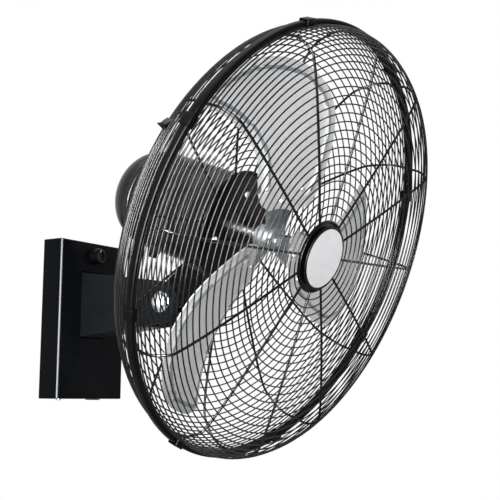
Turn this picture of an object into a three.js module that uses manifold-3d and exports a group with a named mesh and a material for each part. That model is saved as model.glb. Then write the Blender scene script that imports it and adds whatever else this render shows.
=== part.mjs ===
// Wall mounted fan: wall box, tilting arm, motor, wire guards and a three-blade impeller.
// Millimetres, +Z up. The origin is the centre of the wall box's back face; the fan faces -Y.

import * as THREE from 'three';
import { mergeVertices } from 'three/addons/utils/BufferGeometryUtils.js';
import Module from 'manifold-3d';

const wasm = await Module();
wasm.setup();

// ---------------------------------------------------------------- driving dimensions

const GAP = 0.3;                     // clearance between pieces that touch
const SINK = 0.6;                    // how far joined solids reach into each other
const CUT = 5;                       // how far a cutter runs past what it cuts

// wall box
const BOX_WIDTH = 136.8;
const BOX_HEIGHT = 228.6;
const BOX_DEPTH = 35.5;
const BOX_WALL = 2;
const BACK_THICKNESS = 3;
const BACK_MARGIN = 2.5;             // between the back plate's edge and the box's inner wall
const WALL_HOLE_RADIUS = 4;
const WALL_HOLE_X = 50;
const WALL_HOLE_Z = 92;
const TAB_WIDTH = 16;
const TAB_DEPTH = 20;
const COVER_SCREW_X = 42;
const COVER_SCREW_Y = 13;
const COVER_SCREW_RADIUS = 2;

// arm
const ARM_WIDTH = 50;
const ARM_WALL = 3;
const ARM_TOP_AT_BOX = 68.6;
const ARM_BOTTOM_AT_BOX = -24.8;
const ARM_END_RADIUS = 29;
const ARM_MOUTH = 33;                // the webs stop this far before the pivot
const FOOT_THICKNESS = 4;
const FOOT_WIDTH = 96;
const FOOT_TOP = 76;
const FOOT_BOTTOM = -62;
const FOOT_BOLT_X = 37;
const FOOT_BOLT_TOP = 62;
const FOOT_BOLT_BOTTOM = -47;
const BOLT_RADIUS = 3.8;
const LEAD_HOLE_RADIUS = 7;

// tilt pivot
const PIVOT_REACH = 183.4;
const PIVOT_HEIGHT = 19.2;
const PIVOT_RADIUS = 5;
const PIVOT_HEAD_RADIUS = 12;
const PIVOT_HEAD_HEIGHT = 7;
const WASHER_RADIUS = 14.5;
const WASHER_THICKNESS = 1.8;
const REST_TILT = THREE.MathUtils.degToRad(20.7);

// yoke between the pivot and the motor
const EAR_THICKNESS = 3;
const EAR_RADIUS = 21;
const SADDLE_THICKNESS = 4;
const SADDLE_FRONT = 96;             // behind the rim plane
const SADDLE_BACK = 142;
const YOKE_BOLT_RADIUS = 3;
const YOKE_BOLT_SPACING = 26;

// fan head, measured along the fan's axis from the rim plane (forward is positive)
const RIM_BEHIND = 156.1;            // the pivot lies this far behind the rim plane
const AXIS_ABOVE_PIVOT = 130.4;

// motor
const MOTOR_RADIUS = 70;
const MOTOR_WALL = 3.5;
const MOTOR_FRONT = -92;
const MOTOR_JOINT = -100.2;
const MOTOR_BACK = -236;
const END_WALL = 4;
const PAD_DROP = 2;
const PAD_WIDTH = 44;
const CAP_RADIUS = 68;
const CAP_DEPTH = 53;
const CAP_WALL = 3;
const SHAFT_RADIUS = 6;
const BEARING_RADIUS = 15.7;
const BEARING_WIDTH = 10;
const BEARING_SEAT_WALL = 4;
const STATOR_BORE = 36;
const STATOR_FRONT = -122;
const STATOR_BACK = -200;
const SPIGOT_DEPTH = 3.8;
const FRONT_SHOULDER = 8;
const SHAFT_TIP = -18;

// guards
const RIM_RADIUS = 292;
const BAND_THICKNESS = 3.4;
const BAND_WIDTH = 10;
const BAND_SIDES = 36;
const RIM_WIRE = 4.4;
const RING_WIRE = 2.6;
const SPOKE_WIRE = 4;
const SPOKES = 12;
const SPOKE_TURN = -2.3;             // degrees clockwise from straight up, seen from the front
const FRONT_RINGS = 8;
const REAR_RINGS = 8;
const FRONT_FACE = 51;
const FRONT_EDGE_RADIUS = 264;
const FRONT_EDGE = 45.5;
const FRONT_SHOULDER_INSET = 13.5;   // from the band's outside, as are the three below
const FRONT_SHOULDER_AT = 34;
const FRONT_SIDE_INSET = 6.5;
const FRONT_SIDE_AT = 20;
const FRONT_HUB_RADIUS = 46;
const FRONT_PLATE_THICKNESS = 1.8;
const REAR_SIDE_INSET = 7.5;
const REAR_SIDE_AT = -18;
const REAR_SHOULDER_INSET = 16;
const REAR_SHOULDER_AT = -36;
const REAR_EDGE_RADIUS = 252;
const REAR_EDGE = -57;
const REAR_MID_RADIUS = 160;
const REAR_MID = -77;
const REAR_HUB_RADIUS = 76;
const REAR_PLATE_THICKNESS = 2;
const REAR_PLATE_BORE = 20;
const GUARD_SCREWS = 3;
const GUARD_SCREW_CIRCLE = 46;
const GUARD_SCREW_RADIUS = 2.2;
const CLIPS = 8;
const CLIP_TURN = 22;
const CLIP_WIDTH = 22;
const CLIP_THICKNESS = 2.4;
const CLIP_LEG = 14;

// badge
const BADGE_RADIUS = 43.6;
const BADGE_FRONT = 57;
const BADGE_DISC_RADIUS = 38.7;
const BADGE_RECESS = 1.8;

// impeller
const BLADES = 3;
const BLADE_TURN = 329.5;
const BLADE_MIDDLE = -27.6;          // where the blades' middle line crosses the fan's axis
const BLADE_THICKNESS = 1.5;
const BLADE_ROOT = 44;
const BLADE_TIP = 254;
const PITCH_AT_ROOT = 20;
const PITCH_AT_TIP = 11.4;
const ARM_TURN = 15;                 // the hub's arm lies this far clockwise of the blade's middle
const ARM_THICKNESS = 2.5;
const ARM_TIP = 90;
const HUB_RADIUS = 16;
const HUB_FRONT = -22;
const HUB_BACK = -50;
const RIVET_RADIUS = 2.2;
const RIVET_HEAD = 4;
const RIVET_HEIGHT = 2.2;
const OUTER_RIVET = { radius: 76, turn: 20 };
const INNER_RIVET = { radius: 54, turn: 0 };
const GRUB_RADIUS = 2.5;
const GRUB_AT = -44;

// speed control
const KNOB_RADIUS = 12.5;
const KNOB_HEIGHT = 11.5;
const KNOB_Z = 94.5;
const KNOB_STAND_OFF = 1.2;
const SWITCH_SIZE = 30;
const SWITCH_DEPTH = 17;
const BUSHING_RADIUS = 4.7;
const BUSHING_LENGTH = 3.4;
const SPINDLE_RADIUS = 3;

// electrical pieces in the box
const CAPACITOR = { width: 38, height: 28, depth: 17, x: -36, z: -90 };
const TERMINALS = { width: 36, height: 18, depth: 14, x: 20, z: -80, ways: 3 };
const GLAND_X = 24;
const GLAND_Y = 18;
const GLAND_RADIUS = 7.4;
const GLAND_BORE = 4;
const MOTOR_GLAND_AT = -215;

// ---------------------------------------------------------------- finishes

const finish = (color, roughness, metalness) => ({ color, roughness, metalness });
const GLOSS_BLACK = finish(0x0e0f11, 0.25, 0.1);
const POWDER_BLACK = finish(0x17181a, 0.45, 0.2);
const MOTOR_BLACK = finish(0x1b1d21, 0.38, 0.3);
const ALUMINIUM = finish(0xb9bcbf, 0.35, 0.9);
const ZINC = finish(0xc9cccd, 0.3, 1.0);
const STEEL = finish(0x8d9093, 0.3, 1.0);
const LAMINATION = finish(0x5d6166, 0.5, 0.9);
const SILVER = finish(0xdcdedf, 0.4, 0.3);
const BLACK_PLASTIC = finish(0x131415, 0.4, 0.0);
const WHITE_PLASTIC = finish(0xd9d7cf, 0.5, 0.0);

// ---------------------------------------------------------------- shaping helpers

/** The volume inside a closed indexed mesh, negative where its faces point inwards. */
function signedVolume(positions, index) {
  const a = new THREE.Vector3();
  const b = new THREE.Vector3();
  const c = new THREE.Vector3();
  let sum = 0;
  for (let i = 0; i < index.count; i += 3) {
    a.fromBufferAttribute(positions, index.getX(i));
    b.fromBufferAttribute(positions, index.getX(i + 1));
    c.fromBufferAttribute(positions, index.getX(i + 2));
    sum += a.dot(b.cross(c)) / 6;
  }
  return sum;
}

/** Turn a closed three.js geometry into a solid that can be joined and cut. */
function solid(geometry) {
  const bare = geometry.clone();
  bare.deleteAttribute('normal');
  bare.deleteAttribute('uv');
  const welded = mergeVertices(bare, 1e-4);
  const positions = welded.getAttribute('position');
  const triangles = Uint32Array.from(welded.getIndex().array);
  if (signedVolume(positions, welded.getIndex()) < 0) {
    for (let i = 0; i < triangles.length; i += 3) {
      [triangles[i + 1], triangles[i + 2]] = [triangles[i + 2], triangles[i + 1]];
    }
  }
  const vertices = Float32Array.from(positions.array);
  return new wasm.Manifold(new wasm.Mesh({ numProp: 3, vertProperties: vertices, triVerts: triangles }));
}

/** Turn a solid back into a three.js geometry. */
function geometryOf(body) {
  const mesh = body.getMesh();
  const geometry = new THREE.BufferGeometry();
  geometry.setAttribute('position', new THREE.BufferAttribute(Float32Array.from(mesh.vertProperties), 3));
  geometry.setIndex(new THREE.BufferAttribute(Uint32Array.from(mesh.triVerts), 1));
  geometry.computeVertexNormals();
  return geometry;
}

const join = (...bodies) => bodies.reduce((whole, body) => whole.add(body));
const cut = (body, ...cutters) => cutters.reduce((left, cutter) => left.subtract(cutter), body);

/** A named mesh of one solid in one finish. */
function piece(name, body, surface) {
  const mesh = new THREE.Mesh(geometryOf(body), new THREE.MeshStandardMaterial(surface));
  mesh.name = name;
  return mesh;
}

/** A box between two corners. */
function block(x0, x1, y0, y1, z0, z1) {
  const geometry = new THREE.BoxGeometry(x1 - x0, y1 - y0, z1 - z0);
  return solid(geometry.translate((x0 + x1) / 2, (y0 + y1) / 2, (z0 + z1) / 2));
}

/** A body of revolution about the fan's axis; the profile's points are [radius, forward]. */
function turned(profile, segments) {
  const points = profile.map(([radius, forward]) => new THREE.Vector2(radius, -forward));
  return solid(new THREE.LatheGeometry(points, segments));
}

/** A closed ring of revolution: the profile is closed on itself. */
const hoop = (profile, segments) => turned([...profile, profile[0]], segments);

/** A round bar along the fan's axis, from one forward place to another. */
const bar = (radius, back, front, segments = 16) =>
  turned([[0, back], [radius, back], [radius, front], [0, front]], segments);

/** The place at a radius, a clockwise angle in degrees from straight up, and a forward distance. */
function place(radius, degrees, forward) {
  const angle = THREE.MathUtils.degToRad(degrees);
  return new THREE.Vector3(radius * Math.sin(angle), -forward, radius * Math.cos(angle));
}

/** Turn a solid about the fan's axis, clockwise seen from the front. */
const spun = (body, degrees) => body.rotate([0, degrees, 0]);

/** Lay a body of revolution that was turned along Y along X, its forward end towards -X. */
const alongX = (body) => body.rotate([0, 0, -90]);

/** Lay a body of revolution that was turned along Y along Z, its forward end downwards. */
const alongZ = (body) => body.rotate([90, 0, 0]);

/** A side profile in (y, z), extruded across X between two places. */
function sidePlate(shape, x0, x1) {
  const options = { depth: x1 - x0, bevelEnabled: false, curveSegments: 7 };
  const geometry = new THREE.ExtrudeGeometry(shape, options);
  const basis = new THREE.Matrix4().makeBasis(
    new THREE.Vector3(0, 1, 0),
    new THREE.Vector3(0, 0, 1),
    new THREE.Vector3(1, 0, 0),
  );
  return solid(geometry.applyMatrix4(basis).translate(x0, 0, 0));
}

/** A hexagonal nut along the axis, with a round bore. */
const hexagon = (radius, back, front, bore) =>
  cut(bar(radius, back, front, 6), bar(bore, back - CUT, front + CUT, 14));

/** A screw or bolt along the axis: round head in front, shank behind. */
function screw(shank, head, height, length, sides = 8) {
  return turned([
    [0, -length], [shank, -length], [shank, 0], [head, 0],
    [head, height * 0.5], [head * 0.6, height], [0, height],
  ], sides);
}

// ---------------------------------------------------------------- wall box

const boxX = BOX_WIDTH / 2;
const boxZ = BOX_HEIGHT / 2;
const innerX = boxX - BOX_WALL;
const innerZ = boxZ - BOX_WALL;
const backX = innerX - BACK_MARGIN;
const backZ = innerZ - BACK_MARGIN;
const footFront = BACK_THICKNESS + GAP + FOOT_THICKNESS;

const footBolts = [
  [-FOOT_BOLT_X, FOOT_BOLT_TOP], [FOOT_BOLT_X, FOOT_BOLT_TOP],
  [-FOOT_BOLT_X, FOOT_BOLT_BOTTOM], [FOOT_BOLT_X, FOOT_BOLT_BOTTOM],
];

function backPlate() {
  let plate = block(-backX, backX, -BACK_THICKNESS, 0, -backZ, backZ);
  for (const side of [-1, 1]) {
    const edge = side * (innerZ - GAP);
    const root = side * (backZ - BOX_WALL);
    const [low, high] = [Math.min(edge, root), Math.max(edge, root)];
    const middle = side * COVER_SCREW_X;
    const tab = block(middle - TAB_WIDTH / 2, middle + TAB_WIDTH / 2, -TAB_DEPTH, -SINK, low, high);
    const hole = alongZ(bar(COVER_SCREW_RADIUS + GAP, -CUT - BOX_WALL * 3, CUT + BOX_WALL * 3, 10));
    plate = cut(join(plate, tab), hole.translate([middle, -COVER_SCREW_Y, side * backZ]));
    for (const across of [-1, 1]) {
      const wallHole = bar(WALL_HOLE_RADIUS, -CUT, BACK_THICKNESS + CUT, 10);
      plate = cut(plate, wallHole.translate([across * WALL_HOLE_X, 0, side * WALL_HOLE_Z]));
    }
  }
  for (const [x, z] of footBolts) {
    plate = cut(plate, bar(BOLT_RADIUS + GAP, -CUT, BACK_THICKNESS + CUT, 12).translate([x, 0, z]));
  }
  return piece('back_plate', plate, ZINC);
}

function boxCover() {
  const shell = block(-boxX, boxX, -BOX_DEPTH, 0, -boxZ, boxZ);
  const hollow = block(-innerX, innerX, -BOX_DEPTH + BOX_WALL, CUT, -innerZ, innerZ);
  const armSlot = block(
    -ARM_WIDTH / 2 - GAP, ARM_WIDTH / 2 + GAP, -BOX_DEPTH - CUT, 0,
    ARM_BOTTOM_AT_BOX - BOX_WALL, ARM_TOP_AT_BOX + BOX_WALL,
  );
  const bushingHole = bar(BUSHING_RADIUS + GAP, 0, BOX_DEPTH + CUT, 12).translate([0, 0, KNOB_Z]);
  const glandHole = alongZ(bar(GLAND_RADIUS + GAP, 0, boxZ + CUT, 12)).translate([GLAND_X, -GLAND_Y, 0]);
  const screwHoles = [1, -1].map((side) => {
    const hole = alongZ(bar(COVER_SCREW_RADIUS + GAP, -CUT - BOX_WALL, CUT + BOX_WALL, 10));
    return hole.translate([side * COVER_SCREW_X, -COVER_SCREW_Y, side * boxZ]);
  });
  const cover = cut(shell, hollow, armSlot, bushingHole, glandHole, ...screwHoles);
  return piece('box_cover', cover, GLOSS_BLACK);
}

function coverScrews() {
  const length = BOX_WALL + 6;
  return [1, -1].map((side, number) => {
    const body = alongZ(screw(COVER_SCREW_RADIUS, 4, 2.2, length, 10)).rotate([side > 0 ? 180 : 0, 0, 0]);
    const mesh = piece(`cover_screw_${number + 1}`, body, ZINC);
    mesh.position.set(side * COVER_SCREW_X, -COVER_SCREW_Y, side * (boxZ + GAP));
    return mesh;
  });
}

function armBolts() {
  return footBolts.map(([x, z], number) => {
    const shank = bar(BOLT_RADIUS, -footFront + 0.5, 0.6, 12);
    const flange = bar(8.5, 0, 1.6, 14);
    const head = bar(7, 1, 6, 6);
    const mesh = piece(`arm_bolt_${number + 1}`, join(shank, flange, head), ZINC);
    mesh.position.set(x, -footFront - GAP, z);
    return mesh;
  });
}

// ---------------------------------------------------------------- arm and pivot

/** The arm's side view: a taper from the box to a round end about the pivot. */
function armOutline(inset, from) {
  const slopeTop = (ARM_TOP_AT_BOX - PIVOT_HEIGHT - ARM_END_RADIUS) / (PIVOT_REACH - BOX_DEPTH);
  const slopeBottom = (PIVOT_HEIGHT - ARM_END_RADIUS - ARM_BOTTOM_AT_BOX) / (PIVOT_REACH - BOX_DEPTH);
  const radius = ARM_END_RADIUS - inset;
  const topAt = (reach) => PIVOT_HEIGHT + radius + (PIVOT_REACH - reach) * slopeTop;
  const bottomAt = (reach) => PIVOT_HEIGHT - radius - (PIVOT_REACH - reach) * slopeBottom;
  const shape = new THREE.Shape();
  shape.moveTo(-from, bottomAt(from));
  shape.lineTo(-from, topAt(from));
  shape.lineTo(-PIVOT_REACH, topAt(PIVOT_REACH));
  shape.absarc(-PIVOT_REACH, PIVOT_HEIGHT, radius, Math.PI / 2, Math.PI * 1.5, false);
  return shape;
}

/** Everything in front of the webs, between the cheeks. */
function armMouth() {
  const half = ARM_WIDTH / 2 - ARM_WALL;
  const front = PIVOT_REACH + ARM_END_RADIUS + CUT;
  return block(-half, half, -front, -(PIVOT_REACH - ARM_MOUTH), -BOX_HEIGHT, BOX_HEIGHT);
}

function bracketArm() {
  const half = ARM_WIDTH / 2;
  const back = BACK_THICKNESS + GAP;
  const outer = sidePlate(armOutline(0, back), -half, half);
  const inner = sidePlate(armOutline(ARM_WALL, footFront), -half + ARM_WALL, half - ARM_WALL);
  const foot = block(-FOOT_WIDTH / 2, FOOT_WIDTH / 2, -footFront, -back, FOOT_BOTTOM, FOOT_TOP);
  const bore = alongX(bar(PIVOT_RADIUS + GAP, -half - CUT, half + CUT, 16));
  let arm = cut(join(outer, foot), inner, armMouth(), bore.translate([0, -PIVOT_REACH, PIVOT_HEIGHT]));
  for (const [x, z] of footBolts) {
    arm = cut(arm, bar(BOLT_RADIUS + GAP, 0, footFront + CUT, 12).translate([x, 0, z]));
  }
  const leadHole = alongZ(bar(LEAD_HOLE_RADIUS, 0, BOX_HEIGHT, 12));
  const leadPlace = [0, -(BACK_THICKNESS + BOX_DEPTH) / 2, 0];
  return piece('bracket_arm', cut(arm, leadHole.translate(leadPlace)), GLOSS_BLACK);
}

function tiltBolt() {
  const half = ARM_WIDTH / 2;
  const headBack = half + GAP + WASHER_THICKNESS + GAP;
  const shankEnd = -half - 12;
  const body = turned([
    [0, shankEnd], [PIVOT_RADIUS, shankEnd], [PIVOT_RADIUS, headBack], [PIVOT_HEAD_RADIUS, headBack],
    [PIVOT_HEAD_RADIUS, headBack + PIVOT_HEAD_HEIGHT * 0.45],
    [PIVOT_HEAD_RADIUS * 0.75, headBack + PIVOT_HEAD_HEIGHT * 0.85],
    [PIVOT_HEAD_RADIUS * 0.35, headBack + PIVOT_HEAD_HEIGHT], [0, headBack + PIVOT_HEAD_HEIGHT],
  ], 16);
  return piece('tilt_bolt', alongX(body), ZINC);
}

function tiltWasher() {
  const back = ARM_WIDTH / 2 + GAP;
  const front = back + WASHER_THICKNESS;
  const bore = PIVOT_RADIUS + GAP;
  const body = hoop([[bore, back], [WASHER_RADIUS, back], [WASHER_RADIUS, front], [bore, front]], 16);
  return piece('tilt_washer', alongX(body), STEEL);
}

function tiltNut() {
  const front = -ARM_WIDTH / 2 - GAP;
  const bore = PIVOT_RADIUS + GAP;
  const flange = hoop([[bore, front - 2], [12, front - 2], [12, front], [bore, front]], 16);
  return piece('tilt_nut', alongX(join(flange, hexagon(9.5, front - 9, front - 1, bore))), ZINC);
}

// ---------------------------------------------------------------- tilting head: yoke

/** The height, above the pivot, of the flat pad under the motor. */
const padBottom = AXIS_ABOVE_PIVOT - MOTOR_RADIUS - PAD_DROP;
const saddleTop = padBottom - GAP;
const saddleBottom = saddleTop - SADDLE_THICKNESS;
const saddleFrontY = -(RIM_BEHIND - SADDLE_FRONT);
const saddleBackY = -(RIM_BEHIND - SADDLE_BACK);
const saddleMiddleY = (saddleFrontY + saddleBackY) / 2;

function tiltYoke() {
  const outside = ARM_WIDTH / 2 - ARM_WALL - GAP;
  const ear = new THREE.Shape();
  ear.moveTo(saddleFrontY, saddleTop);
  ear.lineTo(saddleFrontY, saddleBottom - 6);
  ear.absarc(0, 0, EAR_RADIUS, Math.PI * 1.2, Math.PI * 2.05, false);
  ear.lineTo(saddleBackY, saddleTop);
  ear.closePath();
  const saddle = block(-outside, outside, saddleFrontY, saddleBackY, saddleBottom, saddleTop);
  let yoke = join(
    sidePlate(ear, -outside, -outside + EAR_THICKNESS),
    sidePlate(ear, outside - EAR_THICKNESS, outside),
    saddle,
  );
  yoke = cut(yoke, alongX(bar(PIVOT_RADIUS + GAP, -outside - CUT, outside + CUT, 16)));
  for (const side of [-0.5, 0.5]) {
    const hole = alongZ(bar(YOKE_BOLT_RADIUS + GAP, -saddleTop - CUT, -saddleBottom + CUT, 12));
    yoke = cut(yoke, hole.translate([0, saddleMiddleY + side * YOKE_BOLT_SPACING, 0]));
  }
  return piece('tilt_yoke', yoke, POWDER_BLACK);
}

function yokeBolts() {
  return [-0.5, 0.5].map((side, number) => {
    const shank = bar(YOKE_BOLT_RADIUS, -SADDLE_THICKNESS - PAD_DROP - 1.5, 0.6, 12);
    const head = bar(6, 0, 4, 6);
    const mesh = piece(`yoke_bolt_${number + 1}`, alongZ(join(shank, head)), ZINC);
    mesh.position.set(0, saddleMiddleY + side * YOKE_BOLT_SPACING, saddleBottom - GAP);
    return mesh;
  });
}

// ---------------------------------------------------------------- motor

const seatRadius = BEARING_RADIUS + GAP;
const seatOuter = seatRadius + BEARING_SEAT_WALL;
const boreRadius = MOTOR_RADIUS - MOTOR_WALL;
const rearWallFront = MOTOR_BACK + END_WALL;
const frontWallBack = MOTOR_FRONT - END_WALL - SINK;
const frontBearingFront = frontWallBack - GAP;
const rearBearingBack = rearWallFront + GAP;
const rearBearingFront = rearBearingBack + BEARING_WIDTH;

function motorHousing() {
  const front = MOTOR_JOINT - GAP;
  const shell = turned([
    [0, MOTOR_BACK], [MOTOR_RADIUS, MOTOR_BACK], [MOTOR_RADIUS, front], [boreRadius, front],
    [boreRadius, rearWallFront], [seatOuter, rearWallFront], [seatOuter, rearBearingFront + 1],
    [seatRadius, rearBearingFront + 1], [seatRadius, rearWallFront], [0, rearWallFront],
  ], 24);
  const half = PAD_WIDTH / 2;
  const padTop = -MOTOR_RADIUS + MOTOR_WALL + 1;
  const pad = block(-half, half, SADDLE_FRONT + 6, SADDLE_BACK, -MOTOR_RADIUS - PAD_DROP, padTop);
  const inside = bar(boreRadius, rearWallFront + SINK, MOTOR_JOINT, 24);
  const seat = bar(seatOuter + SINK, rearWallFront, rearBearingFront + 2, 24);
  let housing = cut(join(shell, pad), cut(inside, seat));
  for (const side of [-0.5, 0.5]) {
    const along = RIM_BEHIND + saddleMiddleY + side * YOKE_BOLT_SPACING;
    const hole = alongZ(bar(YOKE_BOLT_RADIUS + GAP, boreRadius - 2, MOTOR_RADIUS + CUT + PAD_DROP, 12));
    housing = cut(housing, hole.translate([0, along, 0]));
  }
  const leadHole = alongZ(bar(5 + GAP, boreRadius - 3, MOTOR_RADIUS + CUT, 12));
  const drilled = cut(housing, leadHole.translate([0, -MOTOR_GLAND_AT, 0]));
  return piece('motor_housing', drilled, MOTOR_BLACK);
}

function motorFrontCover() {
  const spigot = boreRadius - GAP;
  const spigotBack = MOTOR_JOINT - SPIGOT_DEPTH;
  const seatBack = frontBearingFront - BEARING_WIDTH - 1;
  let cover = hoop([
    [SHAFT_RADIUS + 2, MOTOR_FRONT], [MOTOR_RADIUS - FRONT_SHOULDER, MOTOR_FRONT],
    [MOTOR_RADIUS, MOTOR_FRONT - 4], [MOTOR_RADIUS, MOTOR_JOINT], [spigot, MOTOR_JOINT],
    [spigot, spigotBack], [spigot - 4, spigotBack], [spigot - 4, frontWallBack],
    [seatOuter, frontWallBack], [seatOuter, seatBack], [seatRadius, seatBack],
    [seatRadius, frontWallBack], [SHAFT_RADIUS + 2, frontWallBack],
  ], 24);
  for (let k = 0; k < GUARD_SCREWS; k += 1) {
    const at = place(GUARD_SCREW_CIRCLE, 360 * k / GUARD_SCREWS, 0);
    const hole = bar(GUARD_SCREW_RADIUS + GAP, MOTOR_JOINT - CUT, MOTOR_FRONT + CUT, 8);
    cover = cut(cover, hole.translate(at.toArray()));
  }
  return piece('motor_front_cover', cover, MOTOR_BLACK);
}

function motorRearCap() {
  const steps = 6;
  const base = MOTOR_BACK - GAP;
  const dome = (radius, depth, count) => Array.from({ length: count + 1 }, (_, k) => {
    const angle = Math.PI / 2 * k / count;
    return [radius * Math.sin(angle), base - depth * Math.cos(angle)];
  });
  const outer = dome(CAP_RADIUS, CAP_DEPTH, steps);
  const inner = dome(CAP_RADIUS - CAP_WALL, CAP_DEPTH - CAP_WALL, steps - 1).reverse();
  return piece('motor_rear_cap', turned([...outer, ...inner], 24), MOTOR_BLACK);
}

function bearing(name, back) {
  const bore = SHAFT_RADIUS + GAP;
  const front = back + BEARING_WIDTH;
  const body = hoop([
    [bore, back], [BEARING_RADIUS, back], [BEARING_RADIUS, front], [bore, front],
  ], 16);
  return piece(name, body, STEEL);
}

function stator() {
  const outer = boreRadius - GAP;
  const windings = outer - 12;
  const overhang = 9;
  const body = hoop([
    [STATOR_BORE, STATOR_BACK - overhang], [windings, STATOR_BACK - overhang], [windings, STATOR_BACK],
    [outer, STATOR_BACK], [outer, STATOR_FRONT], [windings, STATOR_FRONT],
    [windings, STATOR_FRONT + overhang], [STATOR_BORE, STATOR_FRONT + overhang],
  ], 24);
  return piece('stator', body, LAMINATION);
}

function motorGland() {
  const bottom = MOTOR_RADIUS + GAP;
  const body = alongZ(hoop([
    [3, bottom - 4], [5, bottom - 4], [5, bottom], [9, bottom],
    [9, bottom + 4], [6.5, bottom + 11], [3, bottom + 11],
  ], 12));
  return piece('motor_gland', body.translate([0, -MOTOR_GLAND_AT, 0]), BLACK_PLASTIC);
}

// ---------------------------------------------------------------- guards

const bandInner = RIM_RADIUS - BAND_THICKNESS;
const bandFlat = bandInner * Math.cos(Math.PI / BAND_SIDES);
const rimWireRadius = bandFlat - GAP - Math.max(RIM_WIRE, SPOKE_WIRE) / 2;
const rimWireForward = GAP / 2 + RIM_WIRE / 2;
const frontShoulderRadius = RIM_RADIUS - FRONT_SHOULDER_INSET;
const frontSideRadius = RIM_RADIUS - FRONT_SIDE_INSET;
const rearSideRadius = RIM_RADIUS - REAR_SIDE_INSET;
const rearShoulderRadius = RIM_RADIUS - REAR_SHOULDER_INSET;

/** How many flat sides a wire ring of this radius has. */
const ringSides = (radius) => (radius > RIM_RADIUS / 2 ? BAND_SIDES : 24);

/** The thick wire at a guard's rim. */
function rimWire(forward) {
  const half = RIM_WIRE / 2;
  const radius = rimWireRadius;
  return hoop([
    [radius + half, forward], [radius, forward + half], [radius - half, forward], [radius, forward - half],
  ], ringSides(radius));
}

/** A thin three-sided ring about the fan's axis, turned so that the spokes cross its flats. */
function wireRing(radius, forward) {
  const half = RING_WIRE / 2;
  const sides = ringSides(radius);
  const ring = hoop([
    [radius + half, forward], [radius - half, forward + half], [radius - half, forward - half],
  ], sides);
  return spun(ring, SPOKE_TURN + 180 / sides);
}

/** A smooth guard profile through [radius, forward] points, from the middle to the rim. */
function guardCurve(profile) {
  const points = profile.map(([radius, forward]) => new THREE.Vector3(0, -forward, radius));
  return new THREE.CatmullRomCurve3(points, false);
}

/** One spoke along the guard's profile, at an angle in degrees, with a step at each ring. */
function spoke(curve, rings, degrees) {
  const half = SPOKE_WIRE / 2;
  const section = new THREE.Shape();
  section.moveTo(-half, -half);
  section.lineTo(half, -half);
  section.lineTo(half, half);
  section.lineTo(-half, half);
  section.closePath();
  return spun(solid(new THREE.ExtrudeGeometry(section, { steps: rings - 1, extrudePath: curve })), degrees);
}

/** A cage of rings and spokes along a profile, with a thick wire at the rim. */
function cage(profile, rings, rimForward) {
  const curve = guardCurve(profile);
  const solids = [rimWire(rimForward)];
  for (let k = 0; k < rings - 1; k += 1) {
    const at = curve.getPointAt(k / (rings - 1));
    solids.push(wireRing(at.z, -at.y));
  }
  for (let k = 0; k < SPOKES; k += 1) {
    solids.push(spoke(curve, rings, SPOKE_TURN + 360 * k / SPOKES));
  }
  return join(...solids);
}

/** The front face of the plate that closes the front guard's middle. */
const centrePlateFront = FRONT_FACE - RING_WIRE / 2 + SINK;

function frontGuard() {
  const profile = [
    [FRONT_HUB_RADIUS, FRONT_FACE], [(FRONT_HUB_RADIUS + FRONT_EDGE_RADIUS) / 2, FRONT_FACE],
    [FRONT_EDGE_RADIUS, FRONT_EDGE], [frontShoulderRadius, FRONT_SHOULDER_AT],
    [frontSideRadius, FRONT_SIDE_AT], [rimWireRadius, rimWireForward],
  ];
  const plateRadius = FRONT_HUB_RADIUS + SPOKE_WIRE / 2;
  const plate = bar(plateRadius, centrePlateFront - FRONT_PLATE_THICKNESS, centrePlateFront, 24);
  return piece('front_guard', join(cage(profile, FRONT_RINGS, rimWireForward), plate), POWDER_BLACK);
}

/** The rear guard's centre plate lies on the motor, and its inner ring sinks into the plate. */
const rearPlateBack = MOTOR_FRONT + GAP;
const rearPlateFront = rearPlateBack + REAR_PLATE_THICKNESS;
const rearFace = rearPlateFront + RING_WIRE / 2 - SINK;

function rearGuard() {
  const profile = [
    [REAR_HUB_RADIUS, rearFace], [REAR_MID_RADIUS, REAR_MID], [REAR_EDGE_RADIUS, REAR_EDGE],
    [rearShoulderRadius, REAR_SHOULDER_AT], [rearSideRadius, REAR_SIDE_AT],
    [rimWireRadius, -rimWireForward],
  ];
  const plateRadius = REAR_HUB_RADIUS + 2;
  const plate = hoop([
    [REAR_PLATE_BORE, rearPlateBack], [plateRadius, rearPlateBack],
    [plateRadius, rearPlateFront], [REAR_PLATE_BORE, rearPlateFront],
  ], 24);
  let guard = join(cage(profile, REAR_RINGS, -rimWireForward), plate);
  for (let k = 0; k < GUARD_SCREWS; k += 1) {
    const at = place(GUARD_SCREW_CIRCLE, 360 * k / GUARD_SCREWS, 0);
    const hole = bar(GUARD_SCREW_RADIUS + GAP, rearPlateBack - CUT, rearPlateFront + CUT, 8);
    guard = cut(guard, hole.translate(at.toArray()));
  }
  return piece('rear_guard', guard, POWDER_BLACK);
}

function guardScrews() {
  return Array.from({ length: GUARD_SCREWS }, (_, k) => {
    const body = screw(GUARD_SCREW_RADIUS, 4.5, 2.6, REAR_PLATE_THICKNESS + END_WALL);
    const mesh = piece(`guard_screw_${k + 1}`, body, ZINC);
    mesh.position.copy(place(GUARD_SCREW_CIRCLE, 360 * k / GUARD_SCREWS, rearPlateFront + GAP));
    return mesh;
  });
}

function rimBand() {
  const half = BAND_WIDTH / 2;
  const section = [[bandInner, -half], [RIM_RADIUS, -half], [RIM_RADIUS, half], [bandInner, half]];
  const body = hoop(section, BAND_SIDES);
  return piece('rim_band', body, POWDER_BLACK);
}

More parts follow.
